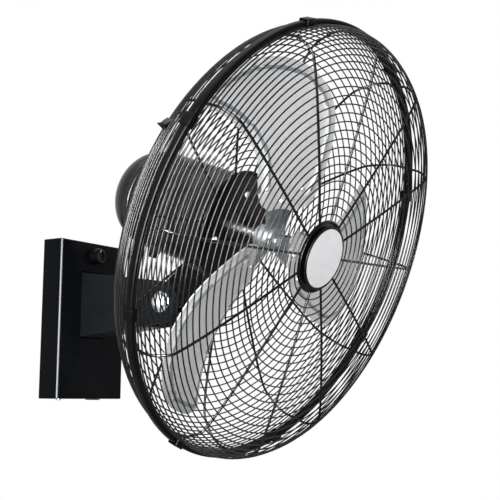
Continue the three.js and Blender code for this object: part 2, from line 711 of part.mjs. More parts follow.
/** A sprung clip that straddles the band and both rim wires. */
function rimClips() {
  const inside = BAND_WIDTH / 2 + GAP;
  const outside = inside + CLIP_THICKNESS;
  const shape = new THREE.Shape();
  shape.moveTo(-outside, RIM_RADIUS - CLIP_LEG);
  shape.lineTo(-inside, RIM_RADIUS - CLIP_LEG);
  shape.lineTo(-inside, RIM_RADIUS + GAP);
  shape.lineTo(inside, RIM_RADIUS + GAP);
  shape.lineTo(inside, RIM_RADIUS - CLIP_LEG);
  shape.lineTo(outside, RIM_RADIUS - CLIP_LEG);
  shape.lineTo(outside, RIM_RADIUS + GAP + CLIP_THICKNESS);
  shape.lineTo(-outside, RIM_RADIUS + GAP + CLIP_THICKNESS);
  shape.closePath();
  return Array.from({ length: CLIPS }, (_, k) => {
    const clip = sidePlate(shape, -CLIP_WIDTH / 2, CLIP_WIDTH / 2);
    return piece(`rim_clip_${k + 1}`, spun(clip, CLIP_TURN + 360 * k / CLIPS), POWDER_BLACK);
  });
}

// ---------------------------------------------------------------- badge

const badgeBack = centrePlateFront + GAP;

function badgeDish() {
  const lip = BADGE_DISC_RADIUS + GAP;
  const body = turned([
    [0, badgeBack], [BADGE_RADIUS, badgeBack], [BADGE_RADIUS, BADGE_FRONT - 1.5],
    [BADGE_RADIUS - 1.5, BADGE_FRONT], [lip, BADGE_FRONT],
    [lip, BADGE_FRONT - BADGE_RECESS], [0, BADGE_FRONT - BADGE_RECESS],
  ], 24);
  return piece('badge_dish', cut(body, badgeRelief()), BLACK_PLASTIC);
}

/** The dish stays clear of the guard's inner ring and the spokes' ends. */
function badgeRelief() {
  const clear = FRONT_HUB_RADIUS - RING_WIRE / 2 - GAP;
  const reach = FRONT_HUB_RADIUS + SPOKE_WIRE;
  return hoop([
    [clear - 2, badgeBack - CUT], [reach, badgeBack - CUT],
    [reach, FRONT_FACE + SPOKE_WIRE / 2 + GAP], [clear - 2, FRONT_FACE + SPOKE_WIRE / 2 + GAP],
  ], 24);
}

function badgeDisc() {
  const back = BADGE_FRONT - BADGE_RECESS + GAP;
  const body = turned([
    [0, back], [BADGE_DISC_RADIUS, back], [BADGE_DISC_RADIUS, BADGE_FRONT - 0.4],
    [BADGE_DISC_RADIUS * 0.6, BADGE_FRONT + 0.5], [0, BADGE_FRONT + 0.8],
  ], 24);
  return piece('badge_disc', body, SILVER);
}

// ---------------------------------------------------------------- impeller

/** Linear steps through [radius, value] pairs. */
function between(pairs, radius) {
  const next = pairs.findIndex(([at]) => at >= radius);
  if (next <= 0) {
    return next === 0 ? pairs[0][1] : pairs[pairs.length - 1][1];
  }
  const [r0, v0] = pairs[next - 1];
  const [r1, v1] = pairs[next];
  return v0 + (v1 - v0) * (radius - r0) / (r1 - r0);
}

/** Degrees from the blade's middle line to its forward edge, at each radius. */
const forwardEdge = [
  [BLADE_ROOT, 38], [60, 52], [90, 50], [120, 44], [180, 34],
  [212, 25], [234, 14], [248, 1], [BLADE_TIP, -8],
];

/** Degrees from the blade's middle line to its trailing edge, at each radius. */
const trailingEdge = [
  [BLADE_ROOT, -8], [58, -16], [90, -12], [120, -9],
  [180, -16], [240, -26], [249, -25], [BLADE_TIP, -20],
];

/** The blade's pitch at a radius, in degrees. */
const pitchAt = (radius) => THREE.MathUtils.lerp(
  PITCH_AT_ROOT, PITCH_AT_TIP, (radius - BLADE_ROOT) / (BLADE_TIP - BLADE_ROOT),
);

/** A point of the blade's middle surface. */
function bladeFoot(radius, degrees) {
  const slope = Math.tan(THREE.MathUtils.degToRad(pitchAt(radius)));
  return place(radius, degrees, BLADE_MIDDLE + radius * slope * THREE.MathUtils.degToRad(degrees));
}

/** The forward normal of the blade's middle surface. */
function bladeNormal(radius, degrees) {
  const across = bladeFoot(radius, degrees + 0.5).sub(bladeFoot(radius, degrees - 0.5));
  const outwards = bladeFoot(radius + 0.5, degrees).sub(bladeFoot(radius - 0.5, degrees));
  return across.cross(outwards).normalize();
}

/** A point of the blade's surface, raised along its normal. */
const bladePoint = (radius, degrees, raise) =>
  bladeFoot(radius, degrees).addScaledVector(bladeNormal(radius, degrees), raise);

/** A sheet that follows the blade's surface between two edges, from one raise to another. */
function bladeSheet(radii, lowEdge, highEdge, columns, low, high) {
  const positions = [];
  const index = [];
  const rows = radii.length;
  const at = (layer, row, column) => (layer * rows + row) * (columns + 1) + column;
  for (const raise of [low, high]) {
    for (const radius of radii) {
      for (let column = 0; column <= columns; column += 1) {
        const degrees = THREE.MathUtils.lerp(lowEdge(radius), highEdge(radius), column / columns);
        positions.push(...bladePoint(radius, degrees, raise).toArray());
      }
    }
  }
  const quad = (a, b, c, d) => index.push(a, b, c, a, c, d);
  for (let row = 0; row < rows - 1; row += 1) {
    for (let column = 0; column < columns; column += 1) {
      quad(at(0, row, column), at(0, row, column + 1), at(0, row + 1, column + 1), at(0, row + 1, column));
      quad(at(1, row, column), at(1, row + 1, column), at(1, row + 1, column + 1), at(1, row, column + 1));
    }
    quad(at(0, row, 0), at(0, row + 1, 0), at(1, row + 1, 0), at(1, row, 0));
    quad(at(0, row, columns), at(1, row, columns), at(1, row + 1, columns), at(0, row + 1, columns));
  }
  for (let column = 0; column < columns; column += 1) {
    quad(at(0, 0, column), at(1, 0, column), at(1, 0, column + 1), at(0, 0, column + 1));
    const last = rows - 1;
    quad(at(0, last, column), at(0, last, column + 1), at(1, last, column + 1), at(1, last, column));
  }
  const geometry = new THREE.BufferGeometry();
  geometry.setAttribute('position', new THREE.Float32BufferAttribute(positions, 3));
  geometry.setIndex(index);
  return solid(geometry);
}

/** The three rivets of one blade, as radius and degrees from the blade's middle line. */
const rivetPlaces = [
  { radius: INNER_RIVET.radius, degrees: ARM_TURN + INNER_RIVET.turn },
  { radius: OUTER_RIVET.radius, degrees: ARM_TURN - OUTER_RIVET.turn },
  { radius: OUTER_RIVET.radius, degrees: ARM_TURN + OUTER_RIVET.turn },
];

/** Set a body that was turned along Y upright on the blade's surface at a rivet's place. */
function onBlade(body, { radius, degrees }) {
  const foot = bladeFoot(radius, degrees);
  const normal = bladeNormal(radius, degrees);
  const turn = new THREE.Quaternion().setFromUnitVectors(new THREE.Vector3(0, -1, 0), normal);
  const matrix = new THREE.Matrix4().compose(foot, turn, new THREE.Vector3(1, 1, 1));
  return body.transform(matrix.elements);
}

const armBack = -BLADE_THICKNESS / 2 - GAP - ARM_THICKNESS;

const rivetHole = (rivet) => onBlade(bar(RIVET_RADIUS + GAP, -CUT - ARM_THICKNESS, CUT, 8), rivet);

function blade() {
  const radii = [
    BLADE_ROOT, INNER_RIVET.radius, OUTER_RIVET.radius, 100, 140, 180, 212, 234, 248, BLADE_TIP,
  ];
  const sheet = bladeSheet(
    radii,
    (radius) => between(trailingEdge, radius),
    (radius) => between(forwardEdge, radius),
    6, -BLADE_THICKNESS / 2, BLADE_THICKNESS / 2,
  );
  return cut(sheet, ...rivetPlaces.map(rivetHole));
}

function blades() {
  const body = blade();
  return Array.from({ length: BLADES }, (_, k) =>
    piece(`blade_${k + 1}`, spun(body, BLADE_TURN + 360 * k / BLADES), ALUMINIUM));
}

function bladeRivets() {
  const seat = BLADE_THICKNESS / 2 + GAP;
  const tail = armBack - GAP;
  const tailRadius = RIVET_HEAD * 0.85;
  const body = turned([
    [0, tail - 1.6], [tailRadius, tail - 1.6], [tailRadius, tail], [RIVET_RADIUS, tail],
    [RIVET_RADIUS, seat], [RIVET_HEAD, seat], [RIVET_HEAD * 0.7, seat + RIVET_HEIGHT * 0.8],
    [0, seat + RIVET_HEIGHT],
  ], 8);
  const meshes = [];
  for (let k = 0; k < BLADES; k += 1) {
    rivetPlaces.forEach((rivet, number) => {
      const name = `blade_rivet_${k + 1}_${number + 1}`;
      meshes.push(piece(name, spun(onBlade(body, rivet), BLADE_TURN + 360 * k / BLADES), ZINC));
    });
  }
  return meshes;
}

function bladeHub() {
  const root = HUB_RADIUS - 6;
  const spread = [[root, 55], [30, 30], [INNER_RIVET.radius, 23], [64, 28], [ARM_TIP, 26]];
  const half = (radius) => between(spread, radius);
  const arm = bladeSheet(
    [root, 30, INNER_RIVET.radius, 64, OUTER_RIVET.radius, ARM_TIP],
    (radius) => ARM_TURN - half(radius),
    (radius) => ARM_TURN + half(radius),
    4, armBack, armBack + ARM_THICKNESS,
  );
  const drilled = cut(arm, ...rivetPlaces.map(rivetHole));
  let hub = bar(HUB_RADIUS, HUB_BACK, HUB_FRONT, 16);
  for (let k = 0; k < BLADES; k += 1) {
    hub = join(hub, spun(drilled, BLADE_TURN + 360 * k / BLADES));
  }
  const bore = bar(SHAFT_RADIUS + GAP, HUB_BACK - CUT, HUB_FRONT + CUT, 12);
  const grub = alongZ(bar(GRUB_RADIUS + GAP, 0, HUB_RADIUS + CUT, 10)).translate([0, -GRUB_AT, 0]);
  return piece('blade_hub', cut(hub, bore, grub), ALUMINIUM);
}

function hubScrew() {
  const body = alongZ(bar(GRUB_RADIUS, SHAFT_RADIUS + 2 * GAP, HUB_RADIUS - 1, 10));
  return piece('hub_screw', body.translate([0, -GRUB_AT, 0]), STEEL);
}

const motorShaft = () => piece('motor_shaft', bar(SHAFT_RADIUS, rearBearingBack + 1, SHAFT_TIP, 16), STEEL);

function rotorCore() {
  const outer = STATOR_BORE - GAP;
  const bore = SHAFT_RADIUS + GAP;
  const body = hoop([
    [bore, STATOR_BACK], [outer, STATOR_BACK], [outer, STATOR_FRONT], [bore, STATOR_FRONT],
  ], 24);
  return piece('rotor_core', body, LAMINATION);
}

// ---------------------------------------------------------------- speed control

const bushingFront = BOX_DEPTH + BUSHING_LENGTH;
const knobBack = BOX_DEPTH + KNOB_STAND_OFF;

function speedSwitch() {
  const half = SWITCH_SIZE / 2;
  const front = BOX_DEPTH - BOX_WALL - GAP;
  const body = block(-half, half, -front, -front + SWITCH_DEPTH, KNOB_Z - half + 1, KNOB_Z + half + 1);
  const bushing = bar(BUSHING_RADIUS, front - 1, bushingFront, 12).translate([0, 0, KNOB_Z]);
  const bore = bar(SPINDLE_RADIUS + GAP, front - 10, bushingFront + CUT, 12).translate([0, 0, KNOB_Z]);
  return piece('speed_switch', cut(join(body, bushing), bore), BLACK_PLASTIC);
}

function switchNut() {
  const body = hexagon(7.5, BOX_DEPTH + GAP, bushingFront - 0.5, BUSHING_RADIUS + GAP);
  return piece('switch_nut', body.translate([0, 0, KNOB_Z]), ZINC);
}

function speedKnob() {
  const front = knobBack + KNOB_HEIGHT;
  const recess = 9;
  const spindleBack = BOX_DEPTH - BOX_WALL - 6;
  const body = turned([
    [0, spindleBack], [SPINDLE_RADIUS, spindleBack], [SPINDLE_RADIUS, bushingFront + GAP],
    [recess, bushingFront + GAP], [recess, knobBack], [KNOB_RADIUS, knobBack],
    [KNOB_RADIUS, knobBack + 3], [KNOB_RADIUS - 0.8, front - 1.5], [KNOB_RADIUS - 2.2, front],
    [0, front],
  ], 20);
  const pointer = block(-0.9, 0.9, -front - 0.6, -front + 1.5, 2, KNOB_RADIUS - 2.5);
  return piece('speed_knob', join(body, pointer), BLACK_PLASTIC);
}

// ---------------------------------------------------------------- pieces inside the box

function runCapacitor() {
  const { width, height, depth } = CAPACITOR;
  const back = BACK_THICKNESS + GAP;
  const lug = 10;
  const can = block(-width / 2, width / 2, -back - depth, -back, -height / 2, height / 2);
  const foot = block(width / 2 - SINK, width / 2 + lug, -back - 2, -back, -lug / 2, lug / 2);
  const mesh = piece('run_capacitor', join(can, foot), WHITE_PLASTIC);
  mesh.position.set(CAPACITOR.x, 0, CAPACITOR.z);
  return mesh;
}

function terminalBlock() {
  const { width, height, depth, ways } = TERMINALS;
  const back = BACK_THICKNESS + GAP;
  const pitch = width / ways;
  let body = block(-width / 2, width / 2, -back - depth, -back, -height / 2, height / 2);
  for (let k = 0; k < ways; k += 1) {
    const x = (k - (ways - 1) / 2) * pitch;
    body = cut(body, block(x - 3, x + 3, -back - depth - CUT, -back - depth + 7, -3, 3));
    body = cut(body, block(x - 2.2, x + 2.2, -back - 8, -back - 4, -height, height));
  }
  const mesh = piece('terminal_block', body, WHITE_PLASTIC);
  mesh.position.set(TERMINALS.x, 0, TERMINALS.z);
  return mesh;
}

function cordGland() {
  const wallOut = boxZ + GAP;
  const body = hoop([
    [GLAND_BORE, innerZ - 6], [GLAND_RADIUS, innerZ - 6], [GLAND_RADIUS, wallOut],
    [GLAND_RADIUS + 3.5, wallOut], [GLAND_RADIUS + 3.5, wallOut + 3],
    [GLAND_RADIUS + 1, wallOut + 5], [GLAND_BORE, wallOut + 5],
  ], 12);
  return piece('cord_gland', alongZ(body).translate([GLAND_X, -GLAND_Y, 0]), BLACK_PLASTIC);
}

// ---------------------------------------------------------------- assembly

function wallBracket() {
  const group = new THREE.Group();
  group.add(backPlate(), boxCover(), bracketArm());
  group.add(...armBolts(), ...coverScrews());
  group.add(speedSwitch(), switchNut(), runCapacitor(), terminalBlock(), cordGland());
  const pivot = new THREE.Group();
  pivot.position.set(0, -PIVOT_REACH, PIVOT_HEIGHT);
  pivot.add(tiltBolt(), tiltWasher(), tiltNut());
  group.add(pivot);
  return group;
}

function speedControl() {
  const knob = speedKnob();
  knob.position.set(0, 0, KNOB_Z);
  return knob;
}

function impeller() {
  const group = new THREE.Group();
  group.add(motorShaft(), rotorCore(), bladeHub(), hubScrew());
  group.add(...blades(), ...bladeRivets());
  return group;
}

function tiltingHead() {
  const head = new THREE.Group();
  head.position.set(0, -PIVOT_REACH, PIVOT_HEIGHT);
  head.rotation.x = REST_TILT;
  head.add(tiltYoke(), ...yokeBolts());
  const fan = new THREE.Group();
  fan.position.set(0, -RIM_BEHIND, AXIS_ABOVE_PIVOT);
  fan.add(motorHousing(), motorRearCap(), motorFrontCover(), stator(), motorGland());
  fan.add(bearing('rear_bearing', rearBearingBack));
  fan.add(bearing('front_bearing', frontBearingFront - BEARING_WIDTH));
  fan.add(rearGuard(), ...guardScrews(), rimBand(), ...rimClips(), frontGuard());
  fan.add(badgeDish(), badgeDisc());
  fan.add(impeller());
  head.add(fan);
  return head;
}

const wallFan = new THREE.Group();
wallFan.add(wallBracket(), speedControl(), tiltingHead());

export default wallFan;
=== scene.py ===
"""Wall mounted fan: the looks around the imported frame.

Sizes are in millimetres in the classes below, and become metres when a piece is made. The fan's
head is drawn in its own frame: radius, a clockwise angle from straight up seen from the front,
and a forward distance from the plane of the guard's rim.
"""

import logging
import math
from collections.abc import Callable, Sequence
from dataclasses import dataclass, field
from enum import Enum

import bmesh
import bpy
import numpy as np
from mathutils import Matrix, Vector


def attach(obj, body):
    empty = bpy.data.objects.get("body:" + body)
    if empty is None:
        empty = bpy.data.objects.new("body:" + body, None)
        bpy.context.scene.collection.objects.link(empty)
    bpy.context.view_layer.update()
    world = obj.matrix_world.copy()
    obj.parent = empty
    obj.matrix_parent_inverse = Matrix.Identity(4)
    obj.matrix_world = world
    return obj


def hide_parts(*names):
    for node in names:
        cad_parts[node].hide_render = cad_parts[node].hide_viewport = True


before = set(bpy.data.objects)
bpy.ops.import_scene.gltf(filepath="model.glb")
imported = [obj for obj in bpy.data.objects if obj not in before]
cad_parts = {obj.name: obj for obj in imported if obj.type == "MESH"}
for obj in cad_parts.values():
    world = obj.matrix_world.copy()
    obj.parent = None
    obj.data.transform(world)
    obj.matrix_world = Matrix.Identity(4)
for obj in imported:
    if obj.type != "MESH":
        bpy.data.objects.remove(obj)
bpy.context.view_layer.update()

logging.basicConfig(level=logging.INFO, format="%(name)s: %(message)s")
LOG = logging.getLogger("wall_fan")

MM = 0.001
WELD_DISTANCE = 1e-7
BEVEL_FROM = math.radians(32.0)
WEAR_SCALE = 90.0


class Body(Enum):
    """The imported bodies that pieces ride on."""

    BRACKET = "wall_bracket"
    KNOB = "knob"
    HEAD = "tilting_head"
    IMPELLER = "impeller"


class Side(Enum):
    """Which half of the wire guard a piece belongs to."""

    FRONT = "front"
    REAR = "rear"


# ---------------------------------------------------------------- the head's frame

PIVOT = Vector((0.0, -183.4, 19.2))
REST_TILT = math.radians(20.7)
RIM_FROM_PIVOT = Vector((0.0, -156.1, 130.4))

PIVOT_FRAME = Matrix.Translation(PIVOT) @ Matrix.Rotation(REST_TILT, 4, "X")
HEAD_FRAME = PIVOT_FRAME @ Matrix.Translation(RIM_FROM_PIVOT)
ROOM_FRAME = Matrix.Identity(4)


def place(radius: float, degrees: float, forward: float) -> Vector:
    """A point of the head's frame.

    Args:
        radius: distance from the fan's axis, in millimetres.
        degrees: clockwise angle from straight up, seen from the front.
        forward: distance in front of the rim's plane.

    Returns:
        The point in the head's own coordinates.
    """
    angle = math.radians(degrees)
    return Vector((radius * math.sin(angle), -forward, radius * math.cos(angle)))


def spun(degrees: float) -> Matrix:
    """A turn about the fan's axis, clockwise seen from the front."""
    return Matrix.Rotation(math.radians(degrees), 4, "Y")


def smooth_step(value: float) -> float:
    """The usual smooth ramp from 0 to 1."""
    t = min(1.0, max(0.0, value))
    return t * t * (3.0 - 2.0 * t)


def smooth_between(pairs: Sequence[tuple[float, float]], at: float) -> float:
    """A smooth curve through pairs of (place, value).

    Args:
        pairs: the known values, in order of their places.
        at: the place that is asked for.

    Returns:
        The value there, held flat beyond both ends.
    """
    if at <= pairs[0][0]:
        return pairs[0][1]
    if at >= pairs[-1][0]:
        return pairs[-1][1]
    k = next(i for i in range(len(pairs) - 1) if pairs[i + 1][0] >= at)
    (x0, y0), (x1, y1) = pairs[k], pairs[k + 1]

    def slope(i: int) -> float:
        """The curve's slope at one of its pairs."""
        low, high = max(i - 1, 0), min(i + 1, len(pairs) - 1)
        return (pairs[high][1] - pairs[low][1]) / (pairs[high][0] - pairs[low][0])

    span = x1 - x0
    t = (at - x0) / span
    start = y0 * (2 * t**3 - 3 * t**2 + 1) + slope(k) * span * (t**3 - 2 * t**2 + t)
    end = y1 * (-2 * t**3 + 3 * t**2) + slope(k + 1) * span * (t**3 - t**2)
    return start + end


# ---------------------------------------------------------------- shader groups


def add_node(tree: bpy.types.NodeTree, kind: str, **values: object) -> bpy.types.Node:
    """Add a shader node and set or link its inputs.

    Args:
        tree: the tree that gets the node.
        kind: the node's type, without its leading ShaderNode.
        values: each input's number, colour or the socket that feeds it; an underscore is a space.

    Returns:
        The node.
    """
    made = tree.nodes.new(f"ShaderNode{kind}")
    for name, value in values.items():
        socket = made.inputs[name.replace("_", " ")]
        if isinstance(value, bpy.types.NodeSocket):
            tree.links.new(value, socket)
        else:
            socket.default_value = value
    return made



class ShaderGroups:
    """The effects that several finishes share, each built once as a node group."""

    made: dict[str, bpy.types.ShaderNodeTree] = {}

    @classmethod
    def grain(cls) -> bpy.types.ShaderNodeTree:
        """Fine uneven paint: a broad patch mask and a fine height."""
        if "grain" in cls.made:
            return cls.made["grain"]
        tree = cls._tree("surface_grain", ("Patch Scale", "Grain Scale"), ("Patches", "Height"))
        sizes = tree.nodes["inside"].outputs
        where = add_node(tree, "TexCoord").outputs["Object"]
        broad, fine = sizes["Patch Scale"], sizes["Grain Scale"]
        patches = add_node(tree, "TexNoise", Vector=where, Scale=broad, Detail=3.0, Roughness=0.6)
        grain = add_node(tree, "TexNoise", Vector=where, Scale=fine, Detail=2.0, Roughness=0.5)
        cls._put_out(tree, Patches=patches.outputs["Fac"], Height=grain.outputs["Fac"])
        cls.made["grain"] = tree
        return tree

    @classmethod
    def wear(cls) -> bpy.types.ShaderNodeTree:
        """Edges that have rubbed: a mask from how sharply the surface turns."""
        if "wear" in cls.made:
            return cls.made["wear"]
        tree = cls._tree("edge_wear", ("Scale", "Amount"), ("Edges",))
        sizes = tree.nodes["inside"].outputs
        where = add_node(tree, "TexCoord").outputs["Object"]
        sharp = add_node(tree, "NewGeometry").outputs["Pointiness"]
        breakup = add_node(tree, "TexNoise", Vector=where, Scale=sizes["Scale"], Detail=4.0, Roughness=0.7)
        edge = add_node(tree, "MapRange", Value=sharp, From_Min=0.52, From_Max=0.62)
        broken = cls._combine(tree, "MULTIPLY", edge.outputs["Result"], breakup.outputs["Fac"])
        cls._put_out(tree, Edges=cls._combine(tree, "MULTIPLY", broken, sizes["Amount"]))
        cls.made["wear"] = tree
        return tree

    @classmethod
    def brushed(cls) -> bpy.types.ShaderNodeTree:
        """Fine lines left by rolling or turning metal, stretched along one direction."""
        if "brushed" in cls.made:
            return cls.made["brushed"]
        tree = cls._tree("brushed_lines", ("Scale", "Stretch"), ("Lines",))
        sizes = tree.nodes["inside"].outputs
        where = add_node(tree, "TexCoord").outputs["Object"]
        stretch = add_node(tree, "CombineXYZ", X=1.0, Y=1.0, Z=sizes["Stretch"])
        scaled = add_node(tree, "VectorMath")
        scaled.operation = "MULTIPLY"
        tree.links.new(where, scaled.inputs[0])
        tree.links.new(stretch.outputs["Vector"], scaled.inputs[1])
        along = scaled.outputs["Vector"]
        lines = add_node(tree, "TexNoise", Vector=along, Scale=sizes["Scale"], Detail=5.0, Roughness=0.65)
        cls._put_out(tree, Lines=lines.outputs["Fac"])
        cls.made["brushed"] = tree
        return tree

    @staticmethod
    def _put_out(tree: bpy.types.ShaderNodeTree, **sockets: bpy.types.NodeSocket) -> None:
        """Feed a group's outputs, each by its name."""
        for name, socket in sockets.items():
            tree.links.new(socket, tree.nodes["outside"].inputs[name])

    @staticmethod
    def _combine(
        tree: bpy.types.NodeTree, operation: str, first: bpy.types.NodeSocket, second: bpy.types.NodeSocket
    ) -> bpy.types.NodeSocket:
        """What a sum node makes of two sockets.

        Args:
            tree: the group's tree.
            operation: the sum, as the Math node names it.
            first: its first input.
            second: its second input.

        Returns:
            The socket that puts out the result.
        """
        made = add_node(tree, "Math")
        made.operation = operation
        tree.links.new(first, made.inputs[0])
        tree.links.new(second, made.inputs[1])
        return made.outputs["Value"]

    @staticmethod
    def _tree(
        name: str, inputs: Sequence[str], outputs: Sequence[str]
    ) -> bpy.types.ShaderNodeTree:
        """An empty group with float sockets.

        Args:
            name: the group's name.
            inputs: the names of its inputs.
            outputs: the names of its outputs.

        Returns:
            The tree, with nodes named inside and outside for its two ends.
        """
        tree = bpy.data.node_groups.new(name, "ShaderNodeTree")
        for socket in inputs:
            tree.interface.new_socket(socket, in_out="INPUT", socket_type="NodeSocketFloat")
        for socket in outputs:
            tree.interface.new_socket(socket, in_out="OUTPUT", socket_type="NodeSocketFloat")
        tree.nodes.new("NodeGroupInput").name = "inside"
        tree.nodes.new("NodeGroupOutput").name = "outside"
        return tree


def place_group(
    tree: bpy.types.NodeTree, group: bpy.types.ShaderNodeTree, sizes: dict[str, float]
) -> bpy.types.Node:
    """Place a shared group in a material with its own values.

    Args:
        tree: the material's tree.
        group: the shared group.
        sizes: what each of its inputs is set to.

    Returns:
        The group's node.
    """
    placed = tree.nodes.new("ShaderNodeGroup")
    placed.node_tree = group
    for name, value in sizes.items():
        placed.inputs[name].default_value = value
    return placed


# ---------------------------------------------------------------- finishes

Colour = tuple[float, float, float]


@dataclass(frozen=True)
class Finish:
    """A finish of one kind of surface, and how it becomes a material.

    The second colour shows in broad patches, and the edge colour where corners have rubbed.
    """

    name: str
    slot: str
    colour: Colour
    second_colour: Colour
    roughness: float
    rough_spread: float = 0.06
    metallic: float = 0.0
    specular: float = 0.5
    ior: float = 1.45
    patch_scale: float = 18.0
    grain_scale: float = 900.0
    grain_height: float = 0.05
    grain_depth: float = 0.0001
    edge_colour: Colour = (0.2, 0.2, 0.2)
    edge_amount: float = 0.0

    def material(self) -> bpy.types.Material:
        """The finish's material, made once.

        Returns:
            The material, found again by its name or made new.
        """
        known = bpy.data.materials.get(self.name)
        if known is not None:
            return known
        material = bpy.data.materials.new(self.name)
        material.use_nodes = True
        material.diffuse_color = (*self.colour, 1.0)
        tree = material.node_tree
        shader = tree.nodes["Principled BSDF"]
        shader.inputs["Metallic"].default_value = self.metallic
        shader.inputs["Specular IOR Level"].default_value = self.specular
        shader.inputs["IOR"].default_value = self.ior
        patches, height = self._pattern(tree)
        self._colours(tree, shader, patches)
        low = max(0.02, self.roughness - self.rough_spread)
        high = min(1.0, self.roughness + self.rough_spread)
        spread = add_node(
            tree, "MapRange", Value=patches, From_Min=0.3, From_Max=0.7, To_Min=low, To_Max=high
        )
        tree.links.new(spread.outputs["Result"], shader.inputs["Roughness"])
        bump = add_node(tree, "Bump", Strength=self.grain_height, Distance=self.grain_depth, Height=height)
        tree.links.new(bump.outputs["Normal"], shader.inputs["Normal"])
        return material

    def _pattern(
        self, tree: bpy.types.NodeTree
    ) -> tuple[bpy.types.NodeSocket, bpy.types.NodeSocket]:
        """The patch mask and the fine height that this finish uses.

        Args:
            tree: the material's node tree.

        Returns:
            The patch mask's socket and the height's.
        """
        sizes = {"Patch Scale": self.patch_scale, "Grain Scale": self.grain_scale}
        group = place_group(tree, ShaderGroups.grain(), sizes)
        return group.outputs["Patches"], group.outputs["Height"]

    def _colours(
        self,
        tree: bpy.types.NodeTree,
        shader: bpy.types.Node,
        patches: bpy.types.NodeSocket,
    ) -> None:
        """Mix the finish's colours by patches, and by wear where it has some.

        Args:
            tree: the material's node tree.
            shader: its Principled BSDF.
            patches: the broad mask.
        """
        mixed = self._mix(tree, patches, self.colour, self.second_colour)
        if self.edge_amount > 0.0:
            sizes = {"Scale": WEAR_SCALE, "Amount": self.edge_amount}
            wear = place_group(tree, ShaderGroups.wear(), sizes)
            worn = tree.nodes.new("ShaderNodeMix")
            worn.data_type = "RGBA"
            tree.links.new(wear.outputs["Edges"], worn.inputs["Factor"])
            tree.links.new(mixed, worn.inputs["A"])
            worn.inputs["B"].default_value = (*self.edge_colour, 1.0)
            mixed = worn.outputs["Result"]
        tree.links.new(mixed, shader.inputs["Base Color"])

    @staticmethod
    def _mix(
        tree: bpy.types.NodeTree, mask: bpy.types.NodeSocket, first: Colour, second: Colour
    ) -> bpy.types.NodeSocket:
        """Two colours mixed by a mask, and the socket that puts out the result.

        Args:
            tree: the material's node tree.
            mask: what mixes them, from 0 to 1.
            first: the colour where the mask is low.
            second: the colour where it is high.

        Returns:
            The socket that puts out the mixed colour.
        """
        ramp = add_node(tree, "MapRange", Value=mask, From_Min=0.35, From_Max=0.65)
        mix = tree.nodes.new("ShaderNodeMix")
        mix.data_type = "RGBA"
        mix.inputs["A"].default_value = (*first, 1.0)
        mix.inputs["B"].default_value = (*second, 1.0)
        tree.links.new(ramp.outputs["Result"], mix.inputs["Factor"])
        return mix.outputs["Result"]


@dataclass(frozen=True)
class BrushedFinish(Finish):
    """A bare metal with fine lines in place of paint grain."""

    line_scale: float = 260.0
    line_stretch: float = 0.06

    def _pattern(
        self, tree: bpy.types.NodeTree
    ) -> tuple[bpy.types.NodeSocket, bpy.types.NodeSocket]:
        """The rolled lines are both the patches and the height.

        Args:
            tree: the material's node tree.

        Returns:
            The lines' socket, as the mask and as the height.
        """
        sizes = {"Scale": self.line_scale, "Stretch": self.line_stretch}
        group = place_group(tree, ShaderGroups.brushed(), sizes)
        return group.outputs["Lines"], group.outputs["Lines"]


GLOSS_BLACK = Finish(
    "gloss_black_paint", "gloss_black", (0.0042, 0.0048, 0.006), (0.0052, 0.006, 0.0074),
    roughness=0.16, rough_spread=0.03, specular=0.35, ior=1.09, grain_scale=420.0, grain_height=0.03,
    edge_colour=(0.10, 0.105, 0.11), edge_amount=0.03,
)
# Painted highlight: a lighter, glossier paint that stands in for the light caught by the box's rounded
# upright folds.
FOLD_PAINTED_HIGHLIGHT = Finish(
    "fold_painted_highlight", "gloss_black", (0.10, 0.104, 0.11), (0.14, 0.145, 0.15),
    roughness=0.5, rough_spread=0.05, specular=0.5, ior=1.3, grain_scale=420.0,
)
ARM_BLACK = Finish(
    "arm_black_paint", "gloss_black", (0.009, 0.0112, 0.0135), (0.0115, 0.0138, 0.016),
    roughness=0.3, rough_spread=0.04, specular=0.5, ior=1.12, grain_scale=420.0, grain_height=0.03,
    edge_colour=(0.16, 0.165, 0.17), edge_amount=0.1,
)
WIRE_BLACK = Finish(
    "wire_black_paint", "powder_black", (0.0032, 0.0034, 0.004), (0.0045, 0.0048, 0.0055),
    roughness=0.24, rough_spread=0.05, specular=0.5, ior=1.22, patch_scale=30.0, grain_scale=700.0,
)
BAND_BLACK = Finish(
    "band_black_paint", "powder_black", (0.0032, 0.0035, 0.0042), (0.0046, 0.005, 0.006),
    roughness=0.32, rough_spread=0.05, specular=0.5, ior=1.12, grain_scale=600.0, grain_height=0.06,
)
MOTOR_BLACK = Finish(
    "motor_black_paint", "motor_black", (0.0075, 0.0085, 0.011), (0.0105, 0.0118, 0.015),
    roughness=0.3, rough_spread=0.05, specular=0.6, ior=1.2, patch_scale=12.0, grain_scale=500.0,
    grain_height=0.06, edge_colour=(0.15, 0.155, 0.17), edge_amount=0.4,
)
BLADE_METAL = BrushedFinish(
    "blade_aluminium_sheet", "blade_aluminium", (0.88, 0.885, 0.89), (0.93, 0.932, 0.935),
    roughness=0.4, rough_spread=0.07, metallic=0.1, grain_height=0.08, grain_depth=0.00008,
)
